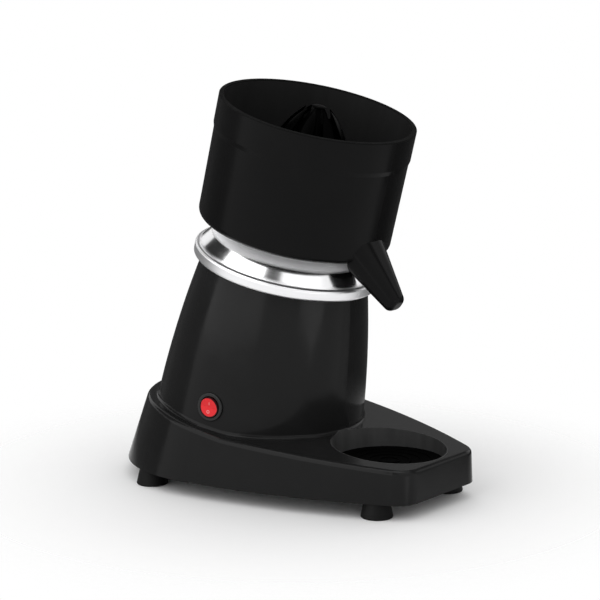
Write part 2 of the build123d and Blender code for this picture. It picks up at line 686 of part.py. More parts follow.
def make_shaft_seal():
    top = COLLAR_TOP + COLLAR_HUB_RISE_HEIGHT
    bottom = top - SEAL_HEIGHT
    outer = SEAL_RADIUS - RUNNING_CLEARANCE
    lip = SHAFT_RADIUS + RUNNING_CLEARANCE
    seal = turned(
        [
            (SHAFT_SEAT_RADIUS, bottom),
            (outer, bottom),
            (outer, top),
            (lip, top),
            (lip, top - SEAL_LIP_HEIGHT),
            (SHAFT_SEAT_RADIUS, top - 2 * SEAL_LIP_HEIGHT),
        ]
    )
    return on_axis(seal)


# Bowl with its chimney, and the spout on it


def bowl_outside():
    """Outer form of the bowl: rounded foot, nearly straight wall, proud rim band."""
    band_level = BOWL_RIM_LEVEL - BOWL_BAND_HEIGHT
    under_band = BOWL_RIM_RADIUS - BOWL_BAND_STEP
    outline = make_face(
        Polyline(
            (0, COLLAR_TOP),
            (BOWL_FOOT_RADIUS, COLLAR_TOP),
            (under_band, band_level - BOWL_BAND_SLOPE_HEIGHT),
            (BOWL_RIM_RADIUS, band_level),
            (BOWL_RIM_RADIUS, BOWL_RIM_LEVEL),
            (0, BOWL_RIM_LEVEL),
            close=True,
        )
    )
    foot = outline.vertices().sort_by_distance((BOWL_FOOT_RADIUS, COLLAR_TOP, 0))[0]
    outline = fillet(foot, BOWL_EDGE_ROUND)
    rim = outline.vertices().sort_by_distance((BOWL_RIM_RADIUS, BOWL_RIM_LEVEL, 0))[0]
    outline = fillet(rim, BOWL_RIM_ROUND)
    return revolve(Plane.XZ * outline, Axis.Z)


def bowl_inside():
    """Inner form of the bowl: rounded floor, ledge for the strainer, straight wall."""
    floor = COLLAR_TOP + BOWL_FLOOR
    low = BOWL_FOOT_RADIUS - BOWL_WALL - BOWL_LEDGE_WIDTH
    high = BOWL_FOOT_RADIUS - BOWL_WALL
    outline = make_face(
        Polyline(
            (0, floor),
            (low, floor),
            (low, LEDGE_LEVEL),
            (high, LEDGE_LEVEL),
            (high, BOWL_RIM_LEVEL),
            (0, BOWL_RIM_LEVEL),
            close=True,
        )
    )
    corner = outline.vertices().sort_by_distance((low, floor, 0))[0]
    return revolve(Plane.XZ * fillet(corner, BOWL_EDGE_ROUND - BOWL_WALL), Axis.Z)


def spout_root(inset):
    """Upright plane of the spout's root under the bowl's wall, moved forward by an inset."""
    centre_level = COLLAR_TOP - SPOUT_ROOT_SINK + SPOUT_ROOT_HEIGHT / 2
    place = (BOWL_FOOT_RADIUS - SPOUT_ROOT_DEPTH + inset, 0, centre_level)
    return Plane(origin=place, x_dir=(0, 1, 0), z_dir=(1, 0, 0))


def spout_tip(inset):
    """Dipping plane of the spout's nose, drawn back by an inset."""
    dip = math.radians(SPOUT_DIP)
    along = Vector(math.cos(dip), 0, -math.sin(dip))
    place = spout_root(0).origin + Vector(SPOUT_REACH, 0, -SPOUT_DROP) - along * inset
    return Plane(origin=place, x_dir=(0, 1, 0), z_dir=along)


def spout_section(plane, width, height):
    corner = SPOUT_CORNER_SHARE * min(width, height)
    return plane * RectangleRounded(width, height, corner)


def spout_solid(wall):
    """The tapered nose, drawn in on all sides by a wall."""
    return loft(
        [
            spout_section(spout_root(wall), SPOUT_ROOT_WIDTH - 2 * wall, SPOUT_ROOT_HEIGHT - 2 * wall),
            spout_section(spout_tip(wall), SPOUT_TIP_WIDTH - 2 * wall, SPOUT_TIP_HEIGHT - 2 * wall),
        ]
    )


def spout_outside():
    """The tapered nose with a rounded end."""
    nose = spout_solid(0)
    end = nose.faces().sort_by_distance(spout_tip(0).origin)[0]
    return fillet(end.edges(), SPOUT_NOSE_ROUND)


def spout_passage():
    """The way from the bowl floor through the nose and down out of its underside."""
    root = spout_root(SPOUT_WALL)
    width = SPOUT_ROOT_WIDTH - 2 * SPOUT_WALL
    height = SPOUT_ROOT_HEIGHT - 2 * SPOUT_WALL
    drain = extrude(spout_section(root, width, height), -2 * SPOUT_ROOT_DEPTH)
    drain &= rod(BOWL_RIM_RADIUS, COLLAR_TOP + BOWL_FLOOR, BOWL_RIM_LEVEL)
    tip = spout_tip(SPOUT_WALL).origin
    outlet = rod(SPOUT_OUTLET_RADIUS, tip.Z - SPOUT_TIP_HEIGHT, tip.Z)
    return spout_solid(SPOUT_WALL) + drain + Pos(tip.X - SPOUT_OUTLET_RADIUS, 0, 0) * outlet


def make_bowl():
    chimney_top = COLLAR_TOP + CHIMNEY_HEIGHT
    bore_top = COLLAR_TOP + COLLAR_HUB_RISE_HEIGHT + CHIMNEY_END_ROOM
    flats_width = COLLAR_HUB_FLATS_WIDTH + 2 * CHIMNEY_CLEARANCE
    bowl = bowl_outside() - bowl_inside()
    bowl += rod(CHIMNEY_RADIUS, COLLAR_TOP, chimney_top)
    bowl -= spout_passage()
    bowl -= flatted_boss(CHIMNEY_BORE, flats_width, COLLAR_TOP, bore_top)
    bowl -= rod(REAMER_HUB_RADIUS, bore_top, chimney_top)
    return on_axis(bowl)


def make_spout():
    """The nose, seated against the outside of the bowl."""
    return on_axis(spout_outside() - bowl_outside() - spout_passage())


# Strainer and reamer


def make_strainer():
    radius = BOWL_FOOT_RADIUS - BOWL_WALL - STRAINER_CLEARANCE
    inner = CHIMNEY_RADIUS + STRAINER_CLEARANCE
    top = LEDGE_LEVEL + STRAINER_THICKNESS
    disc = ring(inner, radius, LEDGE_LEVEL, top)
    disc += ring(inner, inner + STRAINER_LIP_WIDTH, LEDGE_LEVEL, LEDGE_LEVEL + STRAINER_LIP_HEIGHT)
    disc += ring(radius - STRAINER_LIP_WIDTH, radius, LEDGE_LEVEL, LEDGE_LEVEL + STRAINER_LIP_HEIGHT)
    slot = Pos(0, 0, LEDGE_LEVEL) * extrude(
        SlotOverall(STRAINER_SLOT_LENGTH, STRAINER_SLOT_WIDTH), STRAINER_THICKNESS
    )
    cuts = []
    for index in range(STRAINER_ROW_COUNT):
        row = STRAINER_ROW_RADIUS + index * STRAINER_ROW_PITCH
        cuts += around(slot, row, evenly(int(2 * math.pi * row / STRAINER_SLOT_PITCH)))
    return on_axis(disc - cuts)


def reamer_dome():
    """Skirt and bowed dome of the reamer, rounded at its tip."""
    shoulder = REAMER_BOTTOM_LEVEL + REAMER_SKIRT_HEIGHT
    tip = REAMER_TIP_LEVEL
    edge = REAMER_RADIUS
    edges = [
        Line((0, REAMER_BOTTOM_LEVEL), (edge, REAMER_BOTTOM_LEVEL)),
        Line((edge, REAMER_BOTTOM_LEVEL), (edge, shoulder)),
        SagittaArc((edge, shoulder), (REAMER_TIP_RADIUS, tip), -REAMER_BULGE),
        Line((REAMER_TIP_RADIUS, tip), (0, tip)),
        Line((0, tip), (0, REAMER_BOTTOM_LEVEL)),
    ]
    outline = make_face(edges)
    tip_edge = outline.vertices().sort_by_distance((REAMER_TIP_RADIUS, tip, 0))[0]
    return revolve(Plane.XZ * fillet(tip_edge, REAMER_TIP_ROUND), Axis.Z)


def reamer_flute():
    """A tapered cutter that lies along the dome at bearing zero."""
    shoulder = REAMER_BOTTOM_LEVEL + REAMER_SKIRT_HEIGHT
    foot = Vector(REAMER_RADIUS + REAMER_FLUTE_FOOT_RADIUS - REAMER_FLUTE_DEPTH, 0, shoulder)
    head = Vector(REAMER_FLUTE_TIP_RADIUS + REAMER_FLUTE_GAP, 0, REAMER_TIP_LEVEL)
    lie = Plane(origin=foot, z_dir=head - foot)
    length = (head - foot).length
    return lie * Cone(REAMER_FLUTE_FOOT_RADIUS, REAMER_FLUTE_TIP_RADIUS, length, align=UPRIGHT)


def make_reamer():
    reamer = reamer_dome()
    reamer -= around(reamer_flute(), 0, evenly(REAMER_FLUTES))
    reamer -= rod(REAMER_RADIUS - REAMER_WALL - REAMER_FLUTE_DEPTH, REAMER_BOTTOM_LEVEL, REAMER_HUB_LEVEL)
    bore = SHAFT_RADIUS + SHAFT_CLEARANCE
    reamer -= rod(bore, REAMER_BOTTOM_LEVEL, SHAFT_TOP_LEVEL + SHAFT_CLEARANCE)
    slot_width = 2 * (DRIVE_PIN_RADIUS + SHAFT_CLEARANCE)
    slot_top = DRIVE_PIN_LEVEL + DRIVE_PIN_RADIUS + SHAFT_CLEARANCE
    slot_length = DRIVE_PIN_LENGTH + 2 * SHAFT_CLEARANCE
    slot = Box(slot_length, slot_width, slot_top - REAMER_BOTTOM_LEVEL, align=UPRIGHT)
    reamer -= Pos(0, 0, REAMER_BOTTOM_LEVEL) * slot
    return on_axis(reamer)


# Motor


def make_shaft():
    collar_side = UPPER_BEARING_LEVEL + BEARING_WIDTH
    shaft = rod(SHAFT_RADIUS, SHAFT_BOTTOM_LEVEL, SHAFT_TOP_LEVEL)
    shaft += rod(SHAFT_SEAT_RADIUS, LOWER_BEARING_LEVEL, collar_side)
    core_bottom = LOWER_BEARING_LEVEL + BEARING_WIDTH + SHAFT_CLEARANCE
    shaft += rod(SHAFT_CORE_RADIUS, core_bottom, UPPER_BEARING_LEVEL - SHAFT_CLEARANCE)
    shaft -= Pos(0, 0, DRIVE_PIN_LEVEL) * Rot(0, 90, 0) * Cylinder(DRIVE_PIN_RADIUS, DRIVE_PIN_LENGTH)
    return on_axis(chamfer(shaft.edges().sort_by(Axis.Z)[-1], SHAFT_CHAMFER))


def make_drive_pin():
    return on_axis(Pos(0, 0, DRIVE_PIN_LEVEL) * Rot(0, 90, 0) * Cylinder(DRIVE_PIN_RADIUS, DRIVE_PIN_LENGTH))


def make_rotor():
    middle = (STATOR_TOP + STATOR_BOTTOM) / 2
    bottom = middle - ROTOR_LENGTH / 2
    return on_axis(ring(SHAFT_CORE_RADIUS, ROTOR_RADIUS, bottom, bottom + ROTOR_LENGTH))


def make_stator():
    core = ring(ROTOR_RADIUS + AIR_GAP, STATOR_RADIUS, STATOR_BOTTOM, STATOR_TOP)
    hole = rod(TIE_BOLT_RADIUS + SCREW_CLEARANCE, STATOR_BOTTOM, STATOR_TOP)
    for cut in around(hole, TIE_BOLT_CIRCLE_RADIUS, QUARTERS):
        core -= cut
    return on_axis(core)


def make_winding(upper):
    """A winding crown on one end face of the stator core."""
    bottom = STATOR_TOP if upper else STATOR_BOTTOM - CROWN_HEIGHT
    crown = ring(CROWN_INNER_RADIUS, CROWN_OUTER_RADIUS, bottom, bottom + CROWN_HEIGHT)
    return on_axis(fillet(crown.edges(), CROWN_ROUND))


def end_shield(bottom_up):
    """An end shield: wall, end plate and bearing seat, as the upper one or turned over as the lower one."""
    top = SHIELD_TOP_LEVEL
    plate = top - SHIELD_PLATE_THICKNESS
    seat_bottom = UPPER_BEARING_LEVEL
    shield = ring(STATOR_RADIUS - SHIELD_WALL, STATOR_RADIUS, STATOR_TOP, top)
    shield += rod(STATOR_RADIUS, plate, top)
    shield += rod(BEARING_RADIUS + SHIELD_HUB_WALL, seat_bottom, plate)
    shield -= rod(BEARING_RADIUS, seat_bottom, top - SHIELD_STOP_THICKNESS)
    shield -= rod(SHAFT_SEAT_RADIUS + SHIELD_BORE_CLEARANCE, seat_bottom, top)
    hole = rod(TIE_BOLT_RADIUS + SCREW_CLEARANCE, STATOR_TOP, top)
    for cut in around(hole, TIE_BOLT_CIRCLE_RADIUS, QUARTERS):
        shield -= cut
    if bottom_up:
        middle = (STATOR_TOP + STATOR_BOTTOM) / 2
        shield = Pos(0, 0, 2 * middle) * Rot(180, 0, 0) * shield
    else:
        thread = rod(SCREW_RADIUS + SCREW_CLEARANCE, plate, top)
        for cut in around(thread, MOTOR_SCREW_CIRCLE_RADIUS, QUARTERS):
            shield -= cut
    return on_axis(shield)


def make_bearing(level):
    """A ball bearing as one closed ring with a groove on each face."""
    bore = SHAFT_SEAT_RADIUS + RUNNING_CLEARANCE
    bearing = ring(bore, BEARING_RADIUS, level, level + BEARING_WIDTH)
    inner = bore + BEARING_RACE_WIDTH
    outer = BEARING_RADIUS - BEARING_RACE_WIDTH
    bearing -= ring(inner, outer, level, level + BEARING_GROOVE_DEPTH)
    bearing -= ring(inner, outer, level + BEARING_WIDTH - BEARING_GROOVE_DEPTH, level + BEARING_WIDTH)
    return on_axis(bearing)


def make_tie_bolts():
    bolt = rod(TIE_BOLT_RADIUS, SHIELD_BOTTOM_LEVEL, SHIELD_TOP_LEVEL)
    bolt += rod(SCREW_HEAD_RADIUS, SHIELD_BOTTOM_LEVEL - SCREW_HEAD_HEIGHT, SHIELD_BOTTOM_LEVEL)
    return [on_axis(copy) for copy in around(bolt, TIE_BOLT_CIRCLE_RADIUS, QUARTERS)]


def make_fan():
    top = SHIELD_BOTTOM_LEVEL - FAN_DROP
    bottom = top - FAN_HEIGHT
    fan = rod(FAN_HUB_RADIUS, bottom, top)
    blade = Box(FAN_RADIUS, FAN_BLADE_THICKNESS, FAN_HEIGHT, align=(Align.MIN, Align.CENTER, Align.MIN))
    for copy in around(Pos(0, 0, bottom) * blade, 0, evenly(FAN_BLADES)):
        fan += copy
    fan += rod(FAN_RADIUS, top - FAN_BLADE_THICKNESS, top)
    return on_axis(fan - rod(SHAFT_RADIUS, bottom, top))


# Electrical parts


def make_capacitor():
    can = Pos(CAPACITOR_X, 0, 0) * rod(CAPACITOR_RADIUS, PLATE_TOP, PLATE_TOP + CAPACITOR_HEIGHT)
    return fillet(can.edges().sort_by(Axis.Z)[-1], CAPACITOR_ROUND)


def make_capacitor_clip():
    inner = CAPACITOR_RADIUS + RUNNING_CLEARANCE
    outer = inner + CLIP_WALL
    band = ring(inner, outer, 0, CLIP_HEIGHT)
    tab = Box(CLIP_FOOT_LENGTH, CLIP_FOOT_LENGTH, CLIP_WALL, align=UPRIGHT)
    foot = Pos(0, inner + CLIP_FOOT_LENGTH / 2, 0) * tab - rod(inner, 0, CLIP_WALL)
    return Pos(CAPACITOR_X, 0, PLATE_TOP) * (band + foot)


def make_terminal_block():
    block = Box(TERMINAL_BLOCK_LENGTH, TERMINAL_BLOCK_WIDTH, TERMINAL_BLOCK_HEIGHT, align=UPRIGHT)
    pitch = TERMINAL_BLOCK_LENGTH / TERMINAL_WAYS
    well = rod(TERMINAL_WELL_RADIUS, TERMINAL_BLOCK_HEIGHT - TERMINAL_WELL_DEPTH, TERMINAL_BLOCK_HEIGHT)
    for index in range(TERMINAL_WAYS):
        offset = (index - (TERMINAL_WAYS - 1) / 2) * pitch
        for side in (-1, 1):
            block -= Pos(offset, side * TERMINAL_BLOCK_WIDTH / 4, 0) * well
    return Pos(TERMINAL_BLOCK_X, TERMINAL_BLOCK_Y, PLATE_TOP) * block


def make_gland():
    face = GLAND_BOSS_PROUD
    hexagon = Pos(0, 0, face) * extrude(RegularPolygon(GLAND_HEX_RADIUS, 6), GLAND_HEX_LENGTH)
    dome_bottom = face + GLAND_HEX_LENGTH
    lip = GLAND_BORE_RADIUS + GLAND_LIP_WALL
    dome = Pos(0, 0, dome_bottom) * Cone(GLAND_THREAD_RADIUS, lip, GLAND_DOME_LENGTH, align=UPRIGHT)
    inner_end = -GLAND_BOSS_DEPTH - LOCKNUT_THICKNESS - GLAND_THREAD_END
    gland = hexagon + dome + rod(GLAND_THREAD_RADIUS, inner_end, face)
    return gland_frame() * (gland - rod(GLAND_BORE_RADIUS, inner_end, dome_bottom + GLAND_DOME_LENGTH))


def make_locknut():
    nut = extrude(RegularPolygon(GLAND_HEX_RADIUS, 6), LOCKNUT_THICKNESS)
    nut -= rod(GLAND_THREAD_RADIUS + RUNNING_CLEARANCE, 0, LOCKNUT_THICKNESS)
    return gland_frame() * Pos(0, 0, -GLAND_BOSS_DEPTH - LOCKNUT_THICKNESS) * nut


# Switch


def make_switch_body():
    bezel = rod(SWITCH_BEZEL_RADIUS, 0, SWITCH_BEZEL_HEIGHT)
    bezel = fillet(bezel.edges().sort_by(Axis.Z)[-1], SWITCH_BEZEL_ROUND)
    body = bezel + rod(SWITCH_BARREL_RADIUS, -SWITCH_BARREL_DEPTH, 0)
    body -= rod(SWITCH_MOUTH_RADIUS, -SWITCH_POCKET_DEPTH, SWITCH_BEZEL_HEIGHT)
    pivot = Pos(0, 0, PIVOT_HEIGHT) * Rot(90, 0, 0) * Cylinder(PIVOT_RADIUS, 2 * pivot_half_length())
    return switch_frame() * (body - pivot)


def pivot_half_length():
    return (SWITCH_MOUTH_RADIUS + SWITCH_BARREL_RADIUS) / 2


def make_switch_pivot():
    pin = Pos(0, 0, PIVOT_HEIGHT) * Rot(90, 0, 0) * Cylinder(PIVOT_RADIUS, 2 * pivot_half_length())
    return switch_frame() * pin


def make_rocker():
    """A round rocker with a shallow valley across its top, shown tipped to its off side."""
    rocker = Sphere(ROCKER_RADIUS) & above_floor(-ROCKER_DEPTH)
    for side in (0, 180):
        half = Box(REACH, REACH, REACH, align=(Align.MIN, Align.CENTER, Align.MIN))
        rocker -= Rot(0, 0, side) * Pos(0, 0, ROCKER_CROWN) * Rot(0, -ROCKER_TILT, 0) * half
    rocker -= Rot(90, 0, 0) * Cylinder(PIVOT_RADIUS + PIVOT_CLEARANCE, REACH)
    return switch_frame() * Pos(0, 0, PIVOT_HEIGHT) * Rot(0, ROCKER_TILT, 0) * rocker


def make_switch_terminals():
    blade = Box(BLADE_WIDTH, BLADE_THICKNESS, BLADE_LENGTH, align=UPRIGHT)
    bottom = -SWITCH_BARREL_DEPTH - BLADE_LENGTH
    places = [(x, y) for x in (-BLADE_SPACING, BLADE_SPACING) for y in (-BLADE_SPACING, BLADE_SPACING)]
    return [switch_frame() * Pos(x, y, bottom) * blade for x, y in places]


# Assembly


def make_parts():
    """Every piece of the juicer under its node name; a list is a group of equal fasteners."""
    parts = {
        "housing": make_housing(),
        "bottom_plate": make_bottom_plate(),
        "bottom_plate_screws": make_plate_screws(),
        "foot_screws": make_foot_screws(),
        "drip_mat": make_drip_mat(),
        "collar_ring": make_collar(),
        "collar_gasket": make_gasket(),
        "collar_screws": make_collar_screws(),
        "shaft_seal": make_shaft_seal(),
        "motor_screws": make_motor_screws(),
        "upper_end_shield": end_shield(False),
        "lower_end_shield": end_shield(True),
        "upper_bearing": make_bearing(UPPER_BEARING_LEVEL),
        "lower_bearing": make_bearing(LOWER_BEARING_LEVEL),
        "stator_core": make_stator(),
        "upper_winding": make_winding(True),
        "lower_winding": make_winding(False),
        "motor_tie_bolts": make_tie_bolts(),
        "motor_shaft": make_shaft(),
        "rotor_core": make_rotor(),
        "cooling_fan": make_fan(),
        "drive_pin": make_drive_pin(),
        "bowl": make_bowl(),
        "spout": make_spout(),
        "strainer": make_strainer(),
        "reamer": make_reamer(),
        "run_capacitor": make_capacitor(),
        "capacitor_clip": make_capacitor_clip(),
        "terminal_block": make_terminal_block(),
        "cable_gland": make_gland(),
        "gland_locknut": make_locknut(),
        "switch_body": make_switch_body(),
        "switch_pivot_pin": make_switch_pivot(),
        "switch_rocker": make_rocker(),
        "switch_terminals": make_switch_terminals(),
    }
    foot = make_foot()
    for name, (x, y) in foot_places().items():
        parts[name] = Pos(x, y, 0) * foot
    return parts


def main():
    os.makedirs("parts", exist_ok=True)
    for name, part in make_parts().items():
        shape = Compound(children=part) if isinstance(part, list) else part
        export_step(shape, f"parts/{name}.step")


if __name__ == "__main__":
    main()
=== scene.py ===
"""Finishes, printed switch marks and a plain studio for a leaning electric citrus juicer."""

import json
import logging
import math
from dataclasses import dataclass
from enum import Enum
from typing import Any, Self

import bpy
import numpy as np
from mathutils import Euler, Matrix, Vector


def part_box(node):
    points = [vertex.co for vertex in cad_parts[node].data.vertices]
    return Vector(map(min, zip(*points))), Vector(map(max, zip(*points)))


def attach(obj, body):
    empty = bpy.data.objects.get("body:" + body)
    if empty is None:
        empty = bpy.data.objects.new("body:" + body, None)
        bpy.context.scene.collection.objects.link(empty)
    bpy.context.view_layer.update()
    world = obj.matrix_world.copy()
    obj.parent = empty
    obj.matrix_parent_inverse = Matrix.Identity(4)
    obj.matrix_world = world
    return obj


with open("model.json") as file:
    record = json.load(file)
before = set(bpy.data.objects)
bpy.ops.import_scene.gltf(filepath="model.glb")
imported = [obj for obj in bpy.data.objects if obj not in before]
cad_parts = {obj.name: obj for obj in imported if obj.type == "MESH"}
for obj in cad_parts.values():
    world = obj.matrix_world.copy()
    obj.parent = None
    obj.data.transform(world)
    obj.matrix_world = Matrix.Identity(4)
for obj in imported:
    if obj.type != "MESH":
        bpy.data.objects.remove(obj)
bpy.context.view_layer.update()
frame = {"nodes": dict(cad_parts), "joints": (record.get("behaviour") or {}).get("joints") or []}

LOG = logging.getLogger("juicer")
Colour = tuple[float, float, float]
Point = tuple[float, float, float]
Span = tuple[float, float]

UP: Point = (0.0, 0.0, 1.0)
ABOUT_ONE_WAY = 0.9
STREAK_SQUEEZE = 0.15
STREAK_FULL = 0.7
DUST_COLOUR: Colour = (0.35, 0.34, 0.32)


class Body(Enum):
    """The moving bodies that new pieces ride on."""

    ROCKER = "rocker"


class Slot(Enum):
    """The record's material slots."""

    PALE = "pale_plastic"


class Joint(Enum):
    """The frame's joints that places are taken from."""

    SHAFT = "shaft_spin"
    ROCKER = "rocker_tilt"


@dataclass(frozen=True)
class Line:
    """A line in the frame: a point on it and its unit direction."""

    foot: Point
    direction: Point

    @classmethod
    def of_joint(cls, joint: Joint) -> Self:
        """Takes the line that a joint turns about.

        Args:
            joint: the joint.

        Returns:
            The line.
        """
        row = next(row for row in frame["joints"] if row["name"] == joint.value)
        return cls(tuple(row["pos_m"]), tuple(Vector(row["axis"]).normalized()))

    def lean(self) -> float:
        """Angle about Y from Z to the line, in radians."""
        return math.atan2(self.direction[0], self.direction[2])

    def outwards(self, place: Point) -> Vector:
        """Unit vector from the line straight out to a place."""
        direction = Vector(self.direction)
        reach = Vector(place) - Vector(self.foot)
        return (reach - direction * reach.dot(direction)).normalized()


def large_face(node: str, way: Vector) -> Point:
    """Finds the largest face of a node that looks about one way.

    Args:
        node: the node's name.
        way: the way, as a unit vector.

    Returns:
        The face's normal.
    """
    faces = [face for face in frame["nodes"][node].data.polygons if face.normal.dot(way) > ABOUT_ONE_WAY]
    return tuple(max(faces, key=lambda face: face.area).normal)


AXIS = Line.of_joint(Joint.SHAFT)
ROCKER_LINE = Line.of_joint(Joint.ROCKER)
SWITCH_FACE = Line(ROCKER_LINE.foot, large_face("switch_body", AXIS.outwards(ROCKER_LINE.foot)))
CUP_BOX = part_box("drip_mat")
CUP_LINE = Line((0.5 * (CUP_BOX[0].x + CUP_BOX[1].x), 0.0, 0.0), UP)


class Graph:
    """A node tree with short calls for adding and joining nodes."""

    def __init__(self, tree: bpy.types.NodeTree) -> None:
        """Empties the tree and keeps it.

        Args:
            tree: the node tree of a material, a world or a group.
        """
        self.tree = tree
        tree.nodes.clear()

    def add(self, kind: str, values: dict[str | int, Any] | None = None, **settings: Any) -> bpy.types.Node:
        """Adds a node.

        Args:
            kind: the node's type name without its ShaderNode prefix.
            values: input sockets by name or index, each a plain value or another node's output.
            settings: the node's own properties.

        Returns:
            The new node.
        """
        prefix = "" if kind.startswith("NodeGroup") else "ShaderNode"
        node = self.tree.nodes.new(prefix + kind)
        for name, value in settings.items():
            setattr(node, name, value)
        for key, value in (values or {}).items():
            self.feed(node.inputs[key], value)
        return node

    def feed(self, socket: bpy.types.NodeSocket, value: Any) -> None:
        """Sets an input to a plain value, or joins another node's output to it.

        Args:
            socket: the input.
            value: a plain value or an output socket.
        """
        if isinstance(value, bpy.types.NodeSocket):
            self.tree.links.new(value, socket)
        else:
            socket.default_value = value

    def math(self, operation: str, *values: Any) -> bpy.types.NodeSocket:
        """Adds a Math node and returns its output."""
        return self.add("Math", dict(enumerate(values)), operation=operation).outputs[0]

    def vector(self, operation: str, *values: Any) -> bpy.types.NodeSocket:
        """Adds a Vector Math node and returns its first output."""
        return self.add("VectorMath", dict(enumerate(values)), operation=operation).outputs[0]

    def mix(self, mask: Any, first: Any, second: Any) -> bpy.types.NodeSocket:
        """Adds a Mix node for values and returns its output."""
        return self.add("Mix", {0: mask, 2: first, 3: second}, data_type="FLOAT").outputs[0]

    def mix_colours(self, mask: Any, first: Any, second: Any) -> bpy.types.NodeSocket:
        """Adds a Mix node for colours and returns its output."""
        return self.add("Mix", {0: mask, 6: first, 7: second}, data_type="RGBA").outputs[2]


def opaque(colour: Colour, share: float = 1.0) -> tuple[float, ...]:
    """A share of a colour with full alpha."""
    return (*(share * part for part in colour), 1.0)


class GroupKind(Enum):
    """The effects that several finishes share."""

    MOULDED_SKIN = "moulded_skin"
    COLOUR_DRIFT = "colour_drift"
    TURNED_LINES = "turned_lines"
    SETTLED_DUST = "settled_dust"
    ROUND_ZONE = "round_zone"


class EffectLibrary:
    """Node groups for the shared effects, each built once."""

    def __init__(self) -> None:
        """Builds every group."""
        self.groups: dict[GroupKind, bpy.types.NodeTree] = {
            GroupKind.MOULDED_SKIN: self.moulded_skin(),
            GroupKind.COLOUR_DRIFT: self.colour_drift(),
            GroupKind.TURNED_LINES: self.turned_lines(),
            GroupKind.SETTLED_DUST: self.settled_dust(),
            GroupKind.ROUND_ZONE: self.round_zone(),
        }

    @staticmethod
    def start(kind: GroupKind, inputs: dict[str, Any], outputs: dict[str, str]) -> tuple[Graph, Any, Any]:
        """Makes a group with its sockets.

        Args:
            kind: which effect it is.
            inputs: input names with their default values, a number or a colour, or None for a place.
            outputs: output names with their socket types.

        Returns:
            The group's graph, its input node and its output node.
        """
        tree = bpy.data.node_groups.new(kind.value, "ShaderNodeTree")
        graph = Graph(tree)
        for name, value in inputs.items():
            if value is None:
                tree.interface.new_socket(name, in_out="INPUT", socket_type="NodeSocketVector")
                continue
            plain = isinstance(value, (int, float))
            kind_name = "NodeSocketFloat" if plain else "NodeSocketColor"
            socket = tree.interface.new_socket(name, in_out="INPUT", socket_type=kind_name)
            socket.default_value = value if plain else (*value, 1.0)
        for name, kind_name in outputs.items():
            tree.interface.new_socket(name, in_out="OUTPUT", socket_type=kind_name)
        return graph, graph.add("NodeGroupInput"), graph.add("NodeGroupOutput")

    def moulded_skin(self) -> bpy.types.NodeTree:
        """Fine peel as a height, and roughness that wanders with wiped smudges about a middle value.

        Returns:
            The group.
        """
        inputs = {"Roughness": 0.3, "Spread": 0.05, "Peel Scale": 900.0, "Smudge Scale": 28.0}
        outputs = {"Roughness": "NodeSocketFloat", "Height": "NodeSocketFloat"}
        graph, source, sink = self.start(GroupKind.MOULDED_SKIN, inputs, outputs)
        place = graph.add("TexCoord").outputs["Object"]
        fine = {"Vector": place, "Scale": source.outputs["Peel Scale"], "Detail": 3.0}
        peel = graph.add("TexNoise", fine)
        smudge = graph.add(
            "TexNoise",
            {"Vector": place, "Scale": source.outputs["Smudge Scale"], "Detail": 4.0, "Distortion": 0.6},
        )
        low = graph.math("SUBTRACT", source.outputs["Roughness"], source.outputs["Spread"])
        high = graph.math("ADD", source.outputs["Roughness"], source.outputs["Spread"])
        wander = graph.add(
            "MapRange",
            {"Value": smudge.outputs[0], "From Min": 0.35, "From Max": 0.65, "To Min": low, "To Max": high},
        )
        graph.feed(sink.inputs["Roughness"], wander.outputs[0])
        graph.feed(sink.inputs["Height"], peel.outputs[0])
        return graph.tree

    def colour_drift(self) -> bpy.types.NodeTree:
        """A colour that wanders a little darker and lighter in soft clouds.

        Returns:
            The group.
        """
        inputs = {"Colour": (0.5, 0.5, 0.5), "Share": 0.1, "Scale": 40.0}
        graph, source, sink = self.start(GroupKind.COLOUR_DRIFT, inputs, {"Colour": "NodeSocketColor"})
        place = graph.add("TexCoord").outputs["Object"]
        cloud = graph.add("TexNoise", {"Vector": place, "Scale": source.outputs["Scale"], "Detail": 5.0})
        swing = graph.math("MULTIPLY_ADD", cloud.outputs[0], 2.0, -1.0)
        factor = graph.math("MULTIPLY_ADD", swing, source.outputs["Share"], 1.0)
        tinted = graph.vector("SCALE", source.outputs["Colour"])
        graph.feed(tinted.node.inputs["Scale"], factor)
        graph.feed(sink.inputs["Colour"], tinted)
        return graph.tree

    def turned_lines(self) -> bpy.types.NodeTree:
        """Fine rings left by a lathe: noise that changes quickly up the axis and outwards, slowly round it.

        Returns:
            The group, with the ring noise as a height and the level up the axis in metres.
        """
        inputs = {"Ring Scale": 2600.0, "Round Scale": 1.5}
        outputs = {"Height": "NodeSocketFloat", "Level": "NodeSocketFloat"}
        graph, source, sink = self.start(GroupKind.TURNED_LINES, inputs, outputs)
        place = graph.add("TexCoord").outputs["Object"]
        turned = graph.add(
            "Mapping",
            {"Vector": place, "Location": AXIS.foot, "Rotation": (0.0, AXIS.lean(), 0.0)},
            vector_type="TEXTURE",
        )
        parts = graph.add("SeparateXYZ", {0: turned.outputs[0]})
        across = graph.add("CombineXYZ", {"X": parts.outputs[0], "Y": parts.outputs[1]})
        outwards = graph.add("VectorMath", {0: across.outputs[0]}, operation="LENGTH").outputs["Value"]
        bearing = graph.math("ARCTAN2", parts.outputs[1], parts.outputs[0])
        ring = graph.math("MULTIPLY", outwards, source.outputs["Ring Scale"])
        rise = graph.math("MULTIPLY", parts.outputs[2], source.outputs["Ring Scale"])
        sweep = graph.math("MULTIPLY", graph.math("SINE", bearing), source.outputs["Round Scale"])
        spread = graph.add("CombineXYZ", {"X": ring, "Y": rise, "Z": sweep})
        noise = graph.add("TexNoise", {"Vector": spread.outputs[0], "Scale": 1.0, "Detail": 2.0})
        graph.feed(sink.inputs["Height"], noise.outputs[0])
        graph.feed(sink.inputs["Level"], parts.outputs[2])
        return graph.tree

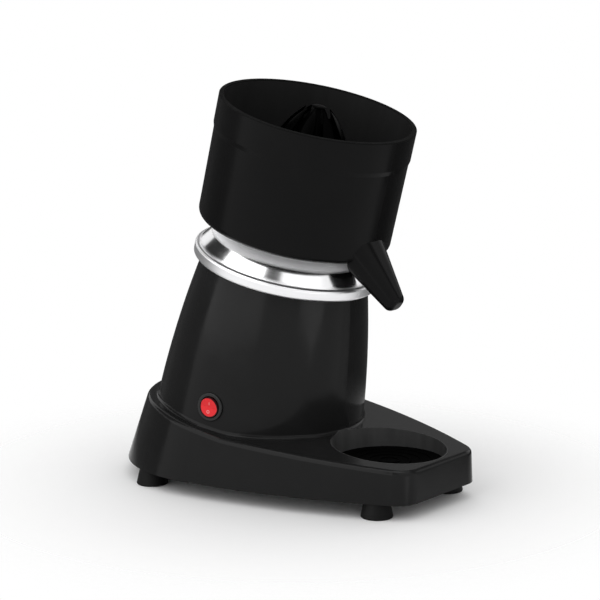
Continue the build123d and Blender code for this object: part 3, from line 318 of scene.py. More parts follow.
    def settled_dust(self) -> bpy.types.NodeTree:
        """Thin dust as a mask: specks of a fine noise on faces that look up.

        Returns:
            The group.
        """
        inputs = {"Amount": 0.1, "Scale": 700.0}
        graph, source, sink = self.start(GroupKind.SETTLED_DUST, inputs, {"Mask": "NodeSocketFloat"})
        place = graph.add("TexCoord").outputs["Object"]
        specks = graph.add("TexNoise", {"Vector": place, "Scale": source.outputs["Scale"], "Detail": 6.0})
        sharp = graph.add("MapRange", {"Value": specks.outputs[0], "From Min": 0.5, "From Max": 0.72})
        facing = graph.add("SeparateXYZ", {0: graph.add("NewGeometry").outputs["Normal"]})
        upward = graph.add("MapRange", {"Value": facing.outputs[2], "From Min": 0.2, "From Max": 1.0})
        mask = graph.math("MULTIPLY", sharp.outputs[0], upward.outputs[0])
        graph.feed(sink.inputs["Mask"], graph.math("MULTIPLY", mask, source.outputs["Amount"]))
        return graph.tree

    def round_zone(self) -> bpy.types.NodeTree:
        """A round zone as a mask: near an axis, between two levels, broken up by streaks along the axis.

        Returns:
            The group.
        """
        inputs = {"Place": None, "Radius": 0.05, "Bottom": 0.0, "Top": 0.1, "Fade": 0.0005, "Breakup": 0.5}
        graph, source, sink = self.start(GroupKind.ROUND_ZONE, inputs, {"Mask": "NodeSocketFloat"})
        parts = graph.add("SeparateXYZ", {0: source.outputs["Place"]})
        across = graph.add("CombineXYZ", {"X": parts.outputs[0], "Y": parts.outputs[1]})
        outwards = graph.add("VectorMath", {0: across.outputs[0]}, operation="LENGTH").outputs["Value"]
        reach = graph.math("ADD", source.outputs["Radius"], source.outputs["Fade"])
        near = graph.add(
            "MapRange",
            {
                "Value": outwards,
                "From Min": source.outputs["Radius"],
                "From Max": reach,
                "To Min": 1.0,
                "To Max": 0.0,
            },
        )
        above = graph.math("GREATER_THAN", parts.outputs[2], source.outputs["Bottom"])
        below = graph.math("LESS_THAN", parts.outputs[2], source.outputs["Top"])
        # Streaks along the axis break up the painted light and shade of a zone.
        tall = graph.vector("MULTIPLY", source.outputs["Place"], (1.0, 1.0, STREAK_SQUEEZE))
        streak_noise = graph.add("TexNoise", {"Vector": tall, "Scale": 90.0, "Detail": 3.0})
        swing = graph.math("SUBTRACT", streak_noise.outputs[0], STREAK_FULL)
        broken = graph.math("MULTIPLY_ADD", swing, source.outputs["Breakup"], 1.0)
        zone = graph.math("MULTIPLY", near.outputs[0], graph.math("MULTIPLY", above, below))
        graph.feed(sink.inputs["Mask"], graph.math("MULTIPLY", zone, broken))
        return graph.tree

    def place(self, graph: Graph, kind: GroupKind, values: dict[str, Any]) -> bpy.types.Node:
        """Puts a group into a material with its own values.

        Args:
            graph: the material's graph.
            kind: which effect.
            values: the group's inputs.

        Returns:
            The group's node.
        """
        node = graph.add("Group", node_tree=self.groups[kind])
        for name, value in values.items():
            graph.feed(node.inputs[name], value)
        return node


def new_material(name: str) -> tuple[bpy.types.Material, Graph, bpy.types.Node]:
    """Makes an empty material with a Principled shader on its output.

    Args:
        name: the material's name.

    Returns:
        The material, its graph and the shader node.
    """
    material = bpy.data.materials.new(name)
    material.use_nodes = True
    graph = Graph(material.node_tree)
    shader = graph.add("BsdfPrincipled")
    graph.add("OutputMaterial", {"Surface": shader.outputs[0]})
    return material, graph, shader


@dataclass(frozen=True)
class Zone:
    """A round zone about a line, with a colour and a roughness of its own.

    It reaches from a bottom to a top level along the line, and its breakup is the depth of the streaks in it.
    """

    colour: Colour
    roughness: float
    line: Line
    radius: float
    bottom: float
    top: float
    breakup: float = 0.5

    def mask(self, graph: Graph, effects: EffectLibrary) -> bpy.types.NodeSocket:
        """Adds the zone to a material.

        Args:
            graph: the material's graph.
            effects: the shared node groups.

        Returns:
            The mask's output.
        """
        turned = graph.add(
            "Mapping",
            {
                "Vector": graph.add("TexCoord").outputs["Object"],
                "Location": self.line.foot,
                "Rotation": Vector(self.line.direction).to_track_quat("Z", "Y").to_euler(),
            },
            vector_type="TEXTURE",
        )
        values = {
            "Place": turned.outputs[0],
            "Radius": self.radius,
            "Bottom": self.bottom,
            "Top": self.top,
            "Breakup": self.breakup,
        }
        return effects.place(graph, GroupKind.ROUND_ZONE, values).outputs["Mask"]


@dataclass(frozen=True)
class MouldedPlastic:
    """An injection moulding: faint peel, soft clouds in its colour, and wiped smudges in its gloss."""

    name: str
    colour: Colour
    roughness: float
    specular: float
    spread: float = 0.05
    peel_scale: float = 900.0
    peel_depth: float = 0.00002
    smudge_scale: float = 28.0
    drift: float = 0.12
    dust: float = 0.0
    zones: tuple[Zone, ...] = ()

    def build(self, effects: EffectLibrary) -> bpy.types.Material:
        """Makes the material.

        Args:
            effects: the shared node groups.

        Returns:
            The material.
        """
        material, graph, shader = new_material(self.name)
        skin = effects.place(
            graph,
            GroupKind.MOULDED_SKIN,
            {
                "Roughness": self.roughness,
                "Spread": self.spread,
                "Peel Scale": self.peel_scale,
                "Smudge Scale": self.smudge_scale,
            },
        )
        clouds = {"Colour": opaque(self.colour), "Share": self.drift, "Scale": 45.0}
        colour = effects.place(graph, GroupKind.COLOUR_DRIFT, clouds).outputs["Colour"]
        if self.dust:
            mask = effects.place(graph, GroupKind.SETTLED_DUST, {"Amount": self.dust}).outputs["Mask"]
            colour = graph.mix_colours(mask, colour, opaque(DUST_COLOUR))
        rough = skin.outputs["Roughness"]
        # Each zone paints light or shade into the colour: a lighter or darker patch, with a roughness of its
        # own.
        for zone in self.zones:
            mask = zone.mask(graph, effects)
            colour = graph.mix_colours(mask, colour, opaque(zone.colour))
            rough = graph.mix(mask, rough, zone.roughness)
        peel = {"Height": skin.outputs["Height"], "Distance": self.peel_depth, "Strength": 0.6}
        bump = graph.add("Bump", peel)
        graph.feed(shader.inputs["Base Color"], colour)
        graph.feed(shader.inputs["Roughness"], rough)
        graph.feed(shader.inputs["Normal"], bump.outputs[0])
        shader.inputs["Specular IOR Level"].default_value = self.specular
        return material


@dataclass(frozen=True)
class TurnedMetal:
    """Metal finished on a lathe: fine rings, a satin lip, a polished cone above it, a satin band at its top.

    Lip, polish and satin are roughnesses, and the levels are measured up the leaning axis.
    """

    name: str
    colour: Colour
    lip: float
    polish: float
    satin: float
    lip_level: float
    band_level: float
    band_fade: float
    flutter: float = 0.12
    ring_depth: float = 0.000004
    anisotropy: float = 0.6

    def build(self, effects: EffectLibrary) -> bpy.types.Material:
        """Makes the material, with its sheen stretched across the rings.

        Args:
            effects: the shared node groups.

        Returns:
            The material.
        """
        material, graph, shader = new_material(self.name)
        lines = effects.place(graph, GroupKind.TURNED_LINES, {})
        band = graph.add(
            "MapRange",
            {
                "Value": lines.outputs["Level"],
                "From Min": self.band_level,
                "From Max": self.band_level + self.band_fade,
                "To Min": self.polish,
                "To Max": self.satin,
            },
        )
        lip = graph.add(
            "MapRange",
            {
                "Value": lines.outputs["Level"],
                "From Min": self.lip_level,
                "From Max": self.lip_level + self.band_fade,
                "To Min": self.lip - self.polish,
                "To Max": 0.0,
            },
        )
        flutter = graph.math("MULTIPLY_ADD", lines.outputs["Height"], self.flutter, -0.5 * self.flutter)
        graded = graph.math("ADD", band.outputs[0], lip.outputs[0])
        graph.feed(shader.inputs["Roughness"], graph.math("ADD", graded, flutter))
        clouds = {"Colour": opaque(self.colour), "Share": 0.04, "Scale": 60.0}
        tint = effects.place(graph, GroupKind.COLOUR_DRIFT, clouds)
        graph.feed(shader.inputs["Base Color"], tint.outputs["Colour"])
        bump = graph.add("Bump", {"Height": lines.outputs["Height"], "Distance": self.ring_depth})
        graph.feed(shader.inputs["Normal"], bump.outputs[0])
        from_axis = graph.vector("SUBTRACT", graph.add("TexCoord").outputs["Object"], AXIS.foot)
        round_axis = graph.vector("NORMALIZE", graph.vector("CROSS_PRODUCT", AXIS.direction, from_axis))
        graph.feed(shader.inputs["Tangent"], round_axis)
        shader.inputs["Metallic"].default_value = 1.0
        shader.inputs["Anisotropic"].default_value = self.anisotropy
        return material


@dataclass(frozen=True)
class PlainMetal:
    """Cast, rolled or drawn metal: soft clouds in its colour and a roughness that wanders."""

    name: str
    colour: Colour
    roughness: float
    spread: float = 0.08
    grain_scale: float = 1400.0
    grain_depth: float = 0.00003
    drift: float = 0.15

    def build(self, effects: EffectLibrary) -> bpy.types.Material:
        """Makes the material.

        Args:
            effects: the shared node groups.

        Returns:
            The material.
        """
        material, graph, shader = new_material(self.name)
        skin = effects.place(
            graph,
            GroupKind.MOULDED_SKIN,
            {
                "Roughness": self.roughness,
                "Spread": self.spread,
                "Peel Scale": self.grain_scale,
                "Smudge Scale": 70.0,
            },
        )
        clouds = {"Colour": opaque(self.colour), "Share": self.drift, "Scale": 90.0}
        tint = effects.place(graph, GroupKind.COLOUR_DRIFT, clouds)
        grain = {"Height": skin.outputs["Height"], "Distance": self.grain_depth, "Strength": 0.7}
        bump = graph.add("Bump", grain)
        graph.feed(shader.inputs["Base Color"], tint.outputs["Colour"])
        graph.feed(shader.inputs["Roughness"], skin.outputs["Roughness"])
        graph.feed(shader.inputs["Normal"], bump.outputs[0])
        shader.inputs["Metallic"].default_value = 1.0
        return material


@dataclass(frozen=True)
class StackedSheet:
    """Stacked iron sheets: dark and bright lines that follow each other up the axis."""

    name: str
    colour: Colour
    sheet: float = 0.0012
    line_depth: float = 0.0001
    dark_share: float = 0.35
    smooth: float = 0.35
    spread: float = 0.3

    def build(self, effects: EffectLibrary) -> bpy.types.Material:
        """Makes the material.

        Args:
            effects: the shared node groups.

        Returns:
            The material.
        """
        material, graph, shader = new_material(self.name)
        lines = effects.place(graph, GroupKind.TURNED_LINES, {"Ring Scale": 900.0})
        phase = graph.math("MULTIPLY", lines.outputs["Level"], 2.0 * math.pi / self.sheet)
        stripe = graph.math("MULTIPLY_ADD", graph.math("SINE", phase), 0.5, 0.5)
        colour = graph.mix_colours(stripe, opaque(self.colour, self.dark_share), opaque(self.colour))
        rough = graph.math("MULTIPLY_ADD", lines.outputs["Height"], self.spread, self.smooth)
        bump = graph.add("Bump", {"Height": stripe, "Distance": self.line_depth})
        graph.feed(shader.inputs["Base Color"], colour)
        graph.feed(shader.inputs["Roughness"], rough)
        graph.feed(shader.inputs["Normal"], bump.outputs[0])
        shader.inputs["Metallic"].default_value = 0.9
        return material


@dataclass(frozen=True)
class VarnishedWire:
    """A crown of wound wire: strands that run round the axis under varnish."""

    name: str
    colour: Colour
    strand: float = 0.0011
    strand_depth: float = 0.0005
    round_scale: float = 6.0
    dark_share: float = 0.4
    smooth: float = 0.2
    spread: float = 0.3

    def build(self, effects: EffectLibrary) -> bpy.types.Material:
        """Makes the material.

        Args:
            effects: the shared node groups.

        Returns:
            The material.
        """
        material, graph, shader = new_material(self.name)
        scales = {"Ring Scale": 1.0 / self.strand, "Round Scale": self.round_scale}
        height = effects.place(graph, GroupKind.TURNED_LINES, scales).outputs["Height"]
        colour = graph.mix_colours(height, opaque(self.colour, self.dark_share), opaque(self.colour))
        bump = graph.add("Bump", {"Height": height, "Distance": self.strand_depth})
        rough = graph.math("MULTIPLY_ADD", height, self.spread, self.smooth)
        graph.feed(shader.inputs["Base Color"], colour)
        graph.feed(shader.inputs["Roughness"], rough)
        graph.feed(shader.inputs["Normal"], bump.outputs[0])
        shader.inputs["Metallic"].default_value = 0.6
        shader.inputs["Coat Weight"].default_value = 0.5
        return material


Finish = MouldedPlastic | TurnedMetal | PlainMetal | StackedSheet | VarnishedWire

# Painted light: the wall of the cup recess is painted lighter grey, with streaks, standing in for the light
# and reflections on it.
CUP_PAINTED_LIGHT = Zone(
    (0.055, 0.055, 0.055), roughness=0.45, line=CUP_LINE, radius=0.0501, bottom=0.03, top=0.053, breakup=1.0
)
# Painted light: the bowl is painted lighter inside than outside, standing in for light reaching into it.
BOWL_INSIDE_PAINTED_LIGHT = Zone((0.019, 0.019, 0.019), roughness=0.4, line=AXIS, radius=0.0824, bottom=0.2336, top=0.345)
# Painted shade: the bowl's rim is painted darker and made fully rough, so that it shows no highlight.
RIM_PAINTED_SHADE = Zone((0.005, 0.005, 0.005), roughness=1.0, line=AXIS, radius=0.09, bottom=0.3383, top=0.345)
# The rocker's red face; round it the rocker is near-black red, a painted shadow of the bezel.
RED_FACE = Zone(
    (0.86, 0.033, 0.04), roughness=0.24, line=SWITCH_FACE, radius=0.0078, bottom=-0.02, top=0.02, breakup=0.0
)
GLOSS_BLACK = MouldedPlastic(
    "gloss_black", (0.0118, 0.0118, 0.0119), roughness=0.16, specular=0.10, spread=0.03, zones=(CUP_PAINTED_LIGHT,)
)
BOWL_BLACK = MouldedPlastic(
    "bowl_black",
    (0.0062, 0.0062, 0.0063),
    roughness=0.22,
    specular=0.06,
    spread=0.04,
    zones=(BOWL_INSIDE_PAINTED_LIGHT, RIM_PAINTED_SHADE),
)
DEEP_BLACK = MouldedPlastic(
    "deep_black",
    (0.0006, 0.0006, 0.0006),
    roughness=0.32,
    specular=0.012,
    peel_scale=1600.0,
    peel_depth=0.00003,
)
FINE_BLACK = MouldedPlastic(
    "fine_black", (0.006, 0.006, 0.006), roughness=0.45, specular=0.3, peel_scale=1800.0, peel_depth=0.00004
)
RUBBER_BLACK = MouldedPlastic(
    "rubber_black",
    (0.0035, 0.0035, 0.0035),
    roughness=0.55,
    specular=0.12,
    peel_scale=2200.0,
    peel_depth=0.00006,
    drift=0.2,
    dust=0.02,
)
MAT_BLACK = MouldedPlastic(
    "mat_black", (0.0006, 0.0006, 0.0006), roughness=0.7, specular=0.02, peel_scale=2200.0, peel_depth=0.00006
)
# Painted shadow: near-black red all over the rocker, with only the round face in its middle red, standing in
# for the bezel's shadow round its rim.
ROCKER_PAINTED_SHADOW_RED = MouldedPlastic(
    "rocker_painted_shadow_red", (0.02, 0.003, 0.004), roughness=0.35, specular=0.15, drift=0.06, zones=(RED_FACE,)
)
PALE_PLASTIC = MouldedPlastic(
    "pale_plastic", (0.72, 0.72, 0.69), roughness=0.5, specular=0.4, peel_scale=1500.0, drift=0.06
)
PRINTED_PALE = MouldedPlastic(
    "printed_pale", (0.86, 0.28, 0.27), roughness=0.5, specular=0.3, peel_scale=2500.0, drift=0.06
)
TURNED_ALUMINIUM = TurnedMetal(
    "turned_aluminium",
    (0.88, 0.88, 0.89),
    lip=0.34,
    polish=0.13,
    satin=0.8,
    lip_level=0.2058,
    band_level=0.2165,
    band_fade=0.0024,
)
CAST_ALUMINIUM = PlainMetal("cast_aluminium", (0.62, 0.63, 0.64), 0.5, grain_depth=0.00012)
DRAWN_STEEL = PlainMetal("drawn_steel", (0.6, 0.6, 0.61), 0.3)
BLACKENED_STEEL = PlainMetal("blackened_steel", (0.02, 0.02, 0.02), 0.45)
PLAIN_BRASS = PlainMetal("plain_brass", (0.78, 0.6, 0.3), 0.3)
SHEET_IRON = StackedSheet("sheet_iron", (0.3, 0.3, 0.31))
COPPER_WIRE = VarnishedWire("copper_wire", (0.7, 0.32, 0.13))


class Wardrobe:
    """Materials by finish, each made on its first use."""

    def __init__(self) -> None:
        """Builds the shared effects."""
        self.effects = EffectLibrary()
        self.made: dict[str, bpy.types.Material] = {}

    def material(self, finish: Finish) -> bpy.types.Material:
        """Gives the material of a finish.

        Args:
            finish: the finish.

        Returns:
            Its material.
        """
        if finish.name not in self.made:
            self.made[finish.name] = finish.build(self.effects)
        return self.made[finish.name]

    def dress(self, piece: bpy.types.Object, finish: Finish) -> None:
        """Gives a piece one finish all over."""
        piece.data.materials.clear()
        piece.data.materials.append(self.material(finish))


def new_piece(name: str, points: np.ndarray, faces: list[list[int]]) -> bpy.types.Object:
    """Makes a piece and links it to the scene.

    Args:
        name: the piece's name.
        points: an array whose last direction holds X, Y and Z in metres.
        faces: each face's points by index.

    Returns:
        The piece.
    """
    mesh = bpy.data.meshes.new(name)
    mesh.from_pydata(points.reshape(-1, 3).tolist(), [], faces)
    piece = bpy.data.objects.new(name, mesh)
    bpy.context.scene.collection.objects.link(piece)
    return piece


def grid_mesh(name: str, points: np.ndarray, wrap_across: bool) -> bpy.types.Object:
    """Makes a piece from a grid of points, closed round its first direction.

    Args:
        name: the piece's name.
        points: an array of shape (rows, columns, 3) in metres, rows going round.
        wrap_across: whether the columns close too; where they don't, both open ends are capped.

    Returns:
        The piece, linked to the scene.
    """
    rows, columns, _ = points.shape
    index = np.arange(rows * columns).reshape(rows, columns)
    ahead = np.roll(index, -1, axis=0)
    if wrap_across:
        beside, ahead_beside = np.roll(index, -1, axis=1), np.roll(ahead, -1, axis=1)
        near, far = index, ahead
    else:
        near, far = index[:, :-1], ahead[:, :-1]
        beside, ahead_beside = index[:, 1:], ahead[:, 1:]
    faces = np.stack([near, far, ahead_beside, beside], axis=-1).reshape(-1, 4).tolist()
    if not wrap_across:
        faces += [index[::-1, 0].tolist(), index[:, -1].tolist()]
    piece = new_piece(name, points, faces)
    piece.data.polygons.foreach_set("use_smooth", np.ones(len(faces), dtype=bool))
    piece.data.update()
    return piece


@dataclass(frozen=True)
class Stand:
    """Housing, bottom plate, feet and the mat in the cup recess."""

    sides: tuple[str, ...] = ("rear_right", "rear_left", "front_right", "front_left")

    def finishes(self) -> dict[str, Finish]:
        """Finish of each node of the stand."""
        plan: dict[str, Finish] = {
            "housing": GLOSS_BLACK,
            "bottom_plate": FINE_BLACK,
            "bottom_plate_screws": BLACKENED_STEEL,
            "foot_screws": BLACKENED_STEEL,
            "drip_mat": MAT_BLACK,
        }
        return plan | {f"foot_{side}": RUBBER_BLACK for side in self.sides}


@dataclass(frozen=True)
class CollarSet:
    """Polished collar with its gasket, screws and shaft seal."""

    def finishes(self) -> dict[str, Finish]:
        """Finish of each node of the collar."""
        return {
            "collar_ring": TURNED_ALUMINIUM,
            "collar_gasket": RUBBER_BLACK,
            "collar_screws": DRAWN_STEEL,
            "shaft_seal": RUBBER_BLACK,
        }


@dataclass(frozen=True)
class JuiceSet:
    """Bowl, spout, strainer and reamer: the pieces that lift off."""

    def finishes(self) -> dict[str, Finish]:
        """Finish of each node that touches juice."""
        return {"bowl": BOWL_BLACK, "spout": BOWL_BLACK, "strainer": FINE_BLACK, "reamer": DEEP_BLACK}


@dataclass(frozen=True)
class MotorSet:
    """The motor hung under the collar."""

    def finishes(self) -> dict[str, Finish]:
        """Finish of each node of the motor."""
        return {
            "upper_end_shield": CAST_ALUMINIUM,
            "lower_end_shield": CAST_ALUMINIUM,
            "upper_bearing": DRAWN_STEEL,
            "lower_bearing": DRAWN_STEEL,
            "stator_core": SHEET_IRON,
            "rotor_core": SHEET_IRON,
            "upper_winding": COPPER_WIRE,
            "lower_winding": COPPER_WIRE,
            "motor_tie_bolts": DRAWN_STEEL,
            "motor_screws": DRAWN_STEEL,
            "motor_shaft": DRAWN_STEEL,
            "drive_pin": DRAWN_STEEL,
            "cooling_fan": FINE_BLACK,
        }


@dataclass(frozen=True)
class WiringSet:
    """Capacitor, terminal block and cable gland."""

    def finishes(self) -> dict[str, Finish]:
        """Finish of each electrical node."""
        return {
            "run_capacitor": PALE_PLASTIC,
            "capacitor_clip": DRAWN_STEEL,
            "terminal_block": PALE_PLASTIC,
            "cable_gland": FINE_BLACK,
            "gland_locknut": FINE_BLACK,
        }


@dataclass(frozen=True)
class SwitchSet:
    """Round rocker switch with the printed marks for on and off.

    The tilt, in degrees, is both the slope of the rocker's half faces and its tip at rest. The crown is the
    height of the fold between the half faces over the rocker's line.
    """

    line: Line = ROCKER_LINE
    face: Line = SWITCH_FACE
    tilt: float = 8.0
    crown: float = 0.0022
    mark_offset: float = 0.0038
    mark_width: float = 0.0007
    mark_rise: float = 0.00008
    ring_radius: float = 0.0012
    bar_length: float = 0.0029
    bar_edge: float = 0.45
    bar_ends: float = 6.0
    ring_steps: tuple[int, int] = (48, 12)
    bar_steps: tuple[int, int] = (40, 9)

    def finishes(self) -> dict[str, Finish]:
        """Finish of each node of the switch."""
        return {
            "switch_body": FINE_BLACK,
            "switch_pivot_pin": BLACKENED_STEEL,
            "switch_rocker": ROCKER_PAINTED_SHADOW_RED,
            "switch_terminals": PLAIN_BRASS,
        }

    def rocker_frame(self) -> Matrix:
        """The rocker's own frame at rest: X down its face, Z out of it, tipped to its off side."""
        along, outward = -Vector(self.line.direction), Vector(self.face.direction)
        axes = Matrix((along.cross(outward), along, outward)).transposed().to_4x4()
        return Matrix.Translation(self.line.foot) @ axes @ Matrix.Rotation(math.radians(self.tilt), 4, "Y")

    def on_face(self, flat: np.ndarray, side: int) -> np.ndarray:
        """Lays points on one half of the rocker's face.

        Args:
            flat: points whose X and Y lie in the face about a mark's middle, and Z rises from it.
            side: 1 for the lower half, -1 for the upper half.

        Returns:
            The points in the frame: turned by the half face's slope, moved out to the mark's middle.
        """
        slope = math.radians(self.tilt) * side
        rise = self.crown + self.mark_offset * math.tan(abs(slope))
        middle = Vector((self.mark_offset * side, 0.0, rise))
        place = self.rocker_frame() @ Matrix.Translation(middle) @ Matrix.Rotation(-slope, 4, "Y")
        turn = np.array(place.to_3x3())
        return flat @ turn.T + np.array(place.translation)

    def off_ring(self) -> np.ndarray:
        """A flattened ring: a circle of a small ellipse, as wide as the stroke and as high as the print.

        Returns:
            Points of shape (round, section, 3).
        """
        turn = np.linspace(0.0, 2.0 * np.pi, self.ring_steps[0], endpoint=False)[:, None]
        section = np.linspace(0.0, 2.0 * np.pi, self.ring_steps[1], endpoint=False)[None, :]
        reach = self.ring_radius + 0.5 * self.mark_width * np.cos(section)
        rise = self.mark_rise * np.sin(section) + 0.0 * turn
        return np.stack([reach * np.cos(turn), reach * np.sin(turn), rise], axis=-1)

    def on_bar(self) -> np.ndarray:
        """A flattened bar: a rounded oblong outline that shrinks to its middle while it rises and falls.

        Returns:
            Points of shape (round, section, 3).
        """
        turn = np.linspace(0.0, 2.0 * np.pi, self.bar_steps[0], endpoint=False)[:, None]
        section = np.linspace(-self.bar_edge * np.pi, self.bar_edge * np.pi, self.bar_steps[1])[None, :]
        reach = 0.5 * self.mark_width * np.cos(section)
        stretch = 0.5 * (self.bar_length - self.mark_width) * np.tanh(self.bar_ends * np.cos(turn))
        rise = self.mark_rise * np.sin(section) + 0.0 * turn
        return np.stack([stretch + reach * np.cos(turn), reach * np.sin(turn), rise], axis=-1)

    def print_marks(self, wardrobe: Wardrobe) -> list[str]:
        """Builds the two marks, dresses them and lets them ride on the rocker.

        Args:
            wardrobe: the finishes.

        Returns:
            The pieces' names.
        """
        marks = [
            grid_mesh("rocker_mark_off", self.on_face(self.off_ring(), 1), wrap_across=True),
            grid_mesh("rocker_mark_on", self.on_face(self.on_bar(), -1), wrap_across=False),
        ]
        for mark in marks:
            wardrobe.dress(mark, PRINTED_PALE)
            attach(mark, Body.ROCKER.value)
        return [mark.name for mark in marks]


@dataclass(frozen=True)
class Softbox:
    """A soft lamp on the way from the juicer at an azimuth and elevation, facing it."""

    name: str
    azimuth: float
    elevation: float
    width: float
    height: float
    brightness: float
    distance: float = 1.6

    def build(self, target: Vector) -> None:
        """Makes the lamp; its power is brightness times pi times its area.

        Args:
            target: the point that it faces.
        """
        data = bpy.data.lights.new(self.name, "AREA")
        data.shape = "RECTANGLE"
        data.size = self.width
        data.size_y = self.height
        data.energy = self.brightness * math.pi * self.width * self.height
        lamp = bpy.data.objects.new(self.name, data)
        bpy.context.scene.collection.objects.link(lamp)
        out = towards(self.azimuth, self.elevation)
        lamp.location = target + self.distance * out
        lamp.rotation_euler = out.to_track_quat("Z", "Y").to_euler()
        lamp.visible_glossy = False


@dataclass(frozen=True)
class Card:
    """A dark or bright card that only shows in reflections: part of a large sphere about the juicer.

    Its lower and upper edges go straight from the elevation at its first azimuth to that at its last.
    """

    name: str
    azimuths: Span
    lower: Span
    upper: Span
    shade: float
    radius: float = 3.0
    steps: tuple[int, int] = (33, 17)

    @classmethod
    def level(cls, name: str, azimuths: Span, lower: float, upper: float, shade: float) -> Self:
        """A card with level edges.

        Args:
            name: the card's name.
            azimuths: its first and last azimuth.
            lower: the elevation of its lower edge.
            upper: the elevation of its upper edge.
            shade: its brightness, where 1 is white.

        Returns:
            The card.
        """
        return cls(name, azimuths, (lower, lower), (upper, upper), shade)

    def surface(self, target: Vector) -> np.ndarray:
        """Points at one distance from the target, over a range of azimuths and elevations.

        Args:
            target: the middle of the sphere.

        Returns:
            Points of shape (azimuths, elevations, 3).
        """
        along = np.linspace(0.0, 1.0, self.steps[0])[:, None]
        across = np.linspace(0.0, 1.0, self.steps[1])[None, :]
        azimuth = np.radians(self.azimuths[0] + along * (self.azimuths[1] - self.azimuths[0]))
        lower = self.lower[0] + along * (self.lower[1] - self.lower[0])
        upper = self.upper[0] + along * (self.upper[1] - self.upper[0])
        elevation = np.radians(lower + across * (upper - lower))
        flat = np.cos(elevation)
        out = np.stack([flat * np.sin(azimuth), -flat * np.cos(azimuth), np.sin(elevation)], axis=-1)
        return np.array(target) + self.radius * out

    def build(self, target: Vector) -> bpy.types.Object:
        """Makes the card.

        Args:
            target: the middle of the sphere.

        Returns:
            The card's object.
        """
        points = self.surface(target)
        rows, columns, _ = points.shape
        index = np.arange(rows * columns).reshape(rows, columns)
        faces = np.stack([index[:-1, :-1], index[1:, :-1], index[1:, 1:], index[:-1, 1:]], axis=-1)
        card = new_piece(self.name, points, faces.reshape(-1, 4).tolist())
        material = bpy.data.materials.new(self.name)
        material.use_nodes = True
        graph = Graph(material.node_tree)
        glow = graph.add("Emission", {"Color": (self.shade, self.shade, self.shade, 1.0), "Strength": 1.0})
        graph.add("OutputMaterial", {"Surface": glow.outputs[0]})
        card.data.materials.append(material)
        card.visible_camera = False
        card.visible_diffuse = False
        card.visible_shadow = False
        card.visible_transmission = False
        return card


def towards(azimuth: float, elevation: float) -> Vector:
    """Unit vector from the juicer to a place seen at an azimuth from -Y towards +X and an elevation.

    Args:
        azimuth: degrees.
        elevation: degrees.

    Returns:
        The vector.
    """
    turn, rise = math.radians(azimuth), math.radians(elevation)
    return Vector((math.cos(rise) * math.sin(turn), -math.cos(rise) * math.cos(turn), math.sin(rise)))


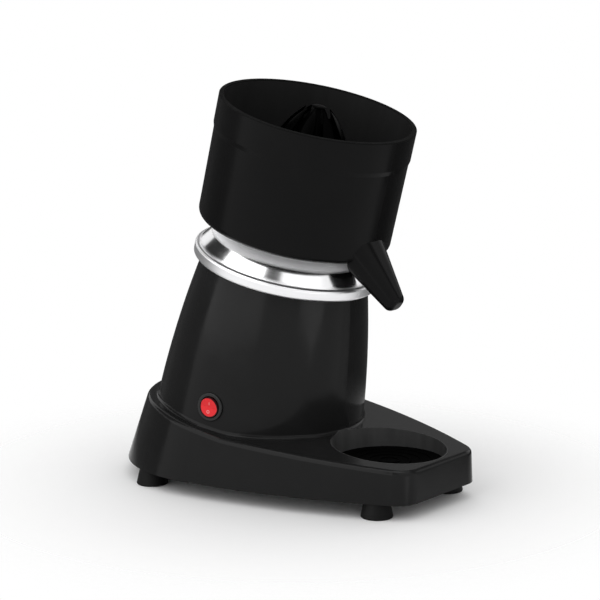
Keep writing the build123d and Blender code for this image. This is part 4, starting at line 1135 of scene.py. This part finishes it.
@dataclass(frozen=True)
class Studio:
    """Pale floor, white surroundings, soft lamps, cards for reflections, and the camera.

    The fade gives the distances from the juicer between which the floor fades out.
    """

    middle: Point = (0.0, 0.0, 0.2)
    floor_radius: float = 6.0
    floor_steps: int = 96
    floor_shade: float = 0.96
    floor_clouds: float = 0.01
    bounce_loss: float = 0.5
    surround: float = 0.8
    camera_place: Point = (1.22349, -1.54086, 0.55026)
    camera_turn: Point = (79.19, 0.0, 38.363)
    lens: float = 137.88
    shift: Span = (0.0037, -0.0262)
    fade: Span = (0.14, 0.37)
    lamps: tuple[Softbox, ...] = (
        Softbox("left_softbox", azimuth=-20.0, elevation=36.0, width=2.1, height=1.7, brightness=0.7),
        Softbox("right_softbox", azimuth=84.0, elevation=42.0, width=1.9, height=1.2, brightness=0.22),
        Softbox("rear_softbox", azimuth=200.0, elevation=55.0, width=1.6, height=1.0, brightness=0.4),
    )
    cards: tuple[Card, ...] = (
        Card.level("low_card", (140.0, 250.0), -34.0, -20.0, 0.008),
        Card.level("far_card", (140.0, 250.0), -20.0, 8.0, 0.07),
        Card.level("side_card", (250.0, 304.0), -34.0, 8.0, 0.12),
        Card.level("rear_card", (140.0, 236.0), 30.0, 52.0, 0.05),
        Card.level("deck_card", (190.0, 217.0), 8.0, 30.0, 0.29),
        Card.level("flank_card", (217.0, 236.0), 8.0, 30.0, 0.12),
        Card.level("front_card", (120.0, 140.0), 8.0, 50.0, 0.12),
        Card.level("end_card", (128.0, 140.0), -24.0, 8.0, 0.7),
        Card.level("left_card", (-100.0, -53.0), 24.0, 66.0, 0.02),
        Card.level("gap_card", (20.0, 44.0), 22.0, 66.0, 0.09),
        Card("left_glow", (-55.0, 19.0), (1.5, -5.5), (66.0, 66.0), 2.3),
        Card.level("right_glow", (47.0, 112.0), 34.0, 62.0, 1.3),
        Card("wedge_left", (64.0, 84.0), (-8.6, -16.4), (-6.0, -6.0), 2.7),
        Card("wedge_right", (84.0, 97.0), (-16.4, -11.8), (-6.0, -6.0), 2.7),
        Card.level("top_card", (0.0, 360.0), 67.0, 90.0, 3.0),
    )

    def build_floor(self) -> bpy.types.Object:
        """A round floor with faint clouds in its pale paint: radius times the cosine and sine of an angle.

        It fades out into the white surroundings with the distance from the juicer, and throws back only
        part of its light.

        Returns:
            The floor.
        """
        angle = np.linspace(0.0, 2.0 * np.pi, self.floor_steps, endpoint=False)
        rim = np.stack([np.cos(angle), np.sin(angle), 0.0 * angle], axis=-1) * self.floor_radius
        floor = new_piece("floor", rim, [list(range(self.floor_steps))])
        material, graph, shader = new_material("pale_floor")
        place = graph.add("TexCoord").outputs["Object"]
        cloud = graph.add("TexNoise", {"Vector": place, "Scale": 3.0})
        shade = graph.math("MULTIPLY_ADD", cloud.outputs[0], self.floor_clouds, self.floor_shade)
        bounced = graph.add("LightPath").outputs["Is Diffuse Ray"]
        shade = graph.math("MULTIPLY", shade, graph.math("MULTIPLY_ADD", bounced, -self.bounce_loss, 1.0))
        tone = graph.add("CombineColor", {0: shade, 1: shade, 2: shade})
        graph.feed(shader.inputs["Base Color"], tone.outputs[0])
        shader.inputs["Roughness"].default_value = 0.8
        shader.inputs["Specular IOR Level"].default_value = 0.1
        away = graph.add("VectorMath", {0: place}, operation="LENGTH").outputs["Value"]
        gone = graph.add(
            "MapRange",
            {"Value": away, "From Min": self.fade[0], "From Max": self.fade[1]},
            interpolation_type="SMOOTHSTEP",
        )
        clear = graph.add("BsdfTransparent")
        mixed = graph.add("MixShader", {0: gone.outputs[0], 1: shader.outputs[0], 2: clear.outputs[0]})
        graph.feed(graph.tree.get_output_node("ALL").inputs["Surface"], mixed.outputs[0])
        floor.data.materials.append(material)
        return floor

    def build_world(self) -> None:
        """White for the camera, reflections and glass, and a plain surround for the light on the juicer."""
        world = bpy.data.worlds.new("surround")
        bpy.context.scene.world = world
        world.use_nodes = True
        graph = Graph(world.node_tree)
        path = graph.add("LightPath").outputs
        seen = graph.math("MAXIMUM", path["Is Camera Ray"], path["Is Glossy Ray"])
        seen = graph.math("MAXIMUM", seen, path["Is Transmission Ray"])
        strength = graph.add("MapRange", {"Value": seen, "To Min": self.surround, "To Max": 1.0})
        light = graph.add("Background", {"Color": (1.0, 1.0, 1.0, 1.0), "Strength": strength.outputs[0]})
        graph.add("OutputWorld", {"Surface": light.outputs[0]})

    def build_camera(self) -> None:
        """The camera at the photograph's viewing angle."""
        data = bpy.data.cameras.new("camera")
        data.sensor_width = 36.0
        data.lens = self.lens
        data.shift_x, data.shift_y = self.shift
        data.clip_end = 50.0
        camera = bpy.data.objects.new("camera", data)
        camera.location = self.camera_place
        camera.rotation_euler = Euler([math.radians(angle) for angle in self.camera_turn])
        bpy.context.scene.collection.objects.link(camera)
        bpy.context.scene.camera = camera

    def build(self) -> None:
        """Builds the whole studio."""
        middle = Vector(self.middle)
        self.build_floor()
        for card in self.cards:
            card.build(middle)
        for lamp in self.lamps:
            lamp.build(middle)
        self.build_world()
        self.build_camera()
        bpy.context.scene.view_settings.view_transform = "Standard"


def main() -> None:
    """Builds the sub-assemblies in order, then the studio."""
    logging.basicConfig(level=logging.INFO, format="%(message)s")
    wardrobe = Wardrobe()
    switch = SwitchSet()
    for part in (Stand(), CollarSet(), JuiceSet(), MotorSet(), WiringSet(), switch):
        for node, finish in part.finishes().items():
            wardrobe.dress(frame["nodes"][node], finish)
            LOG.info("%s: %s", node, finish.name)
    for name in switch.print_marks(wardrobe):
        LOG.info("%s: printed", name)
    Studio().build()


if __name__ == "__main__":
    main()
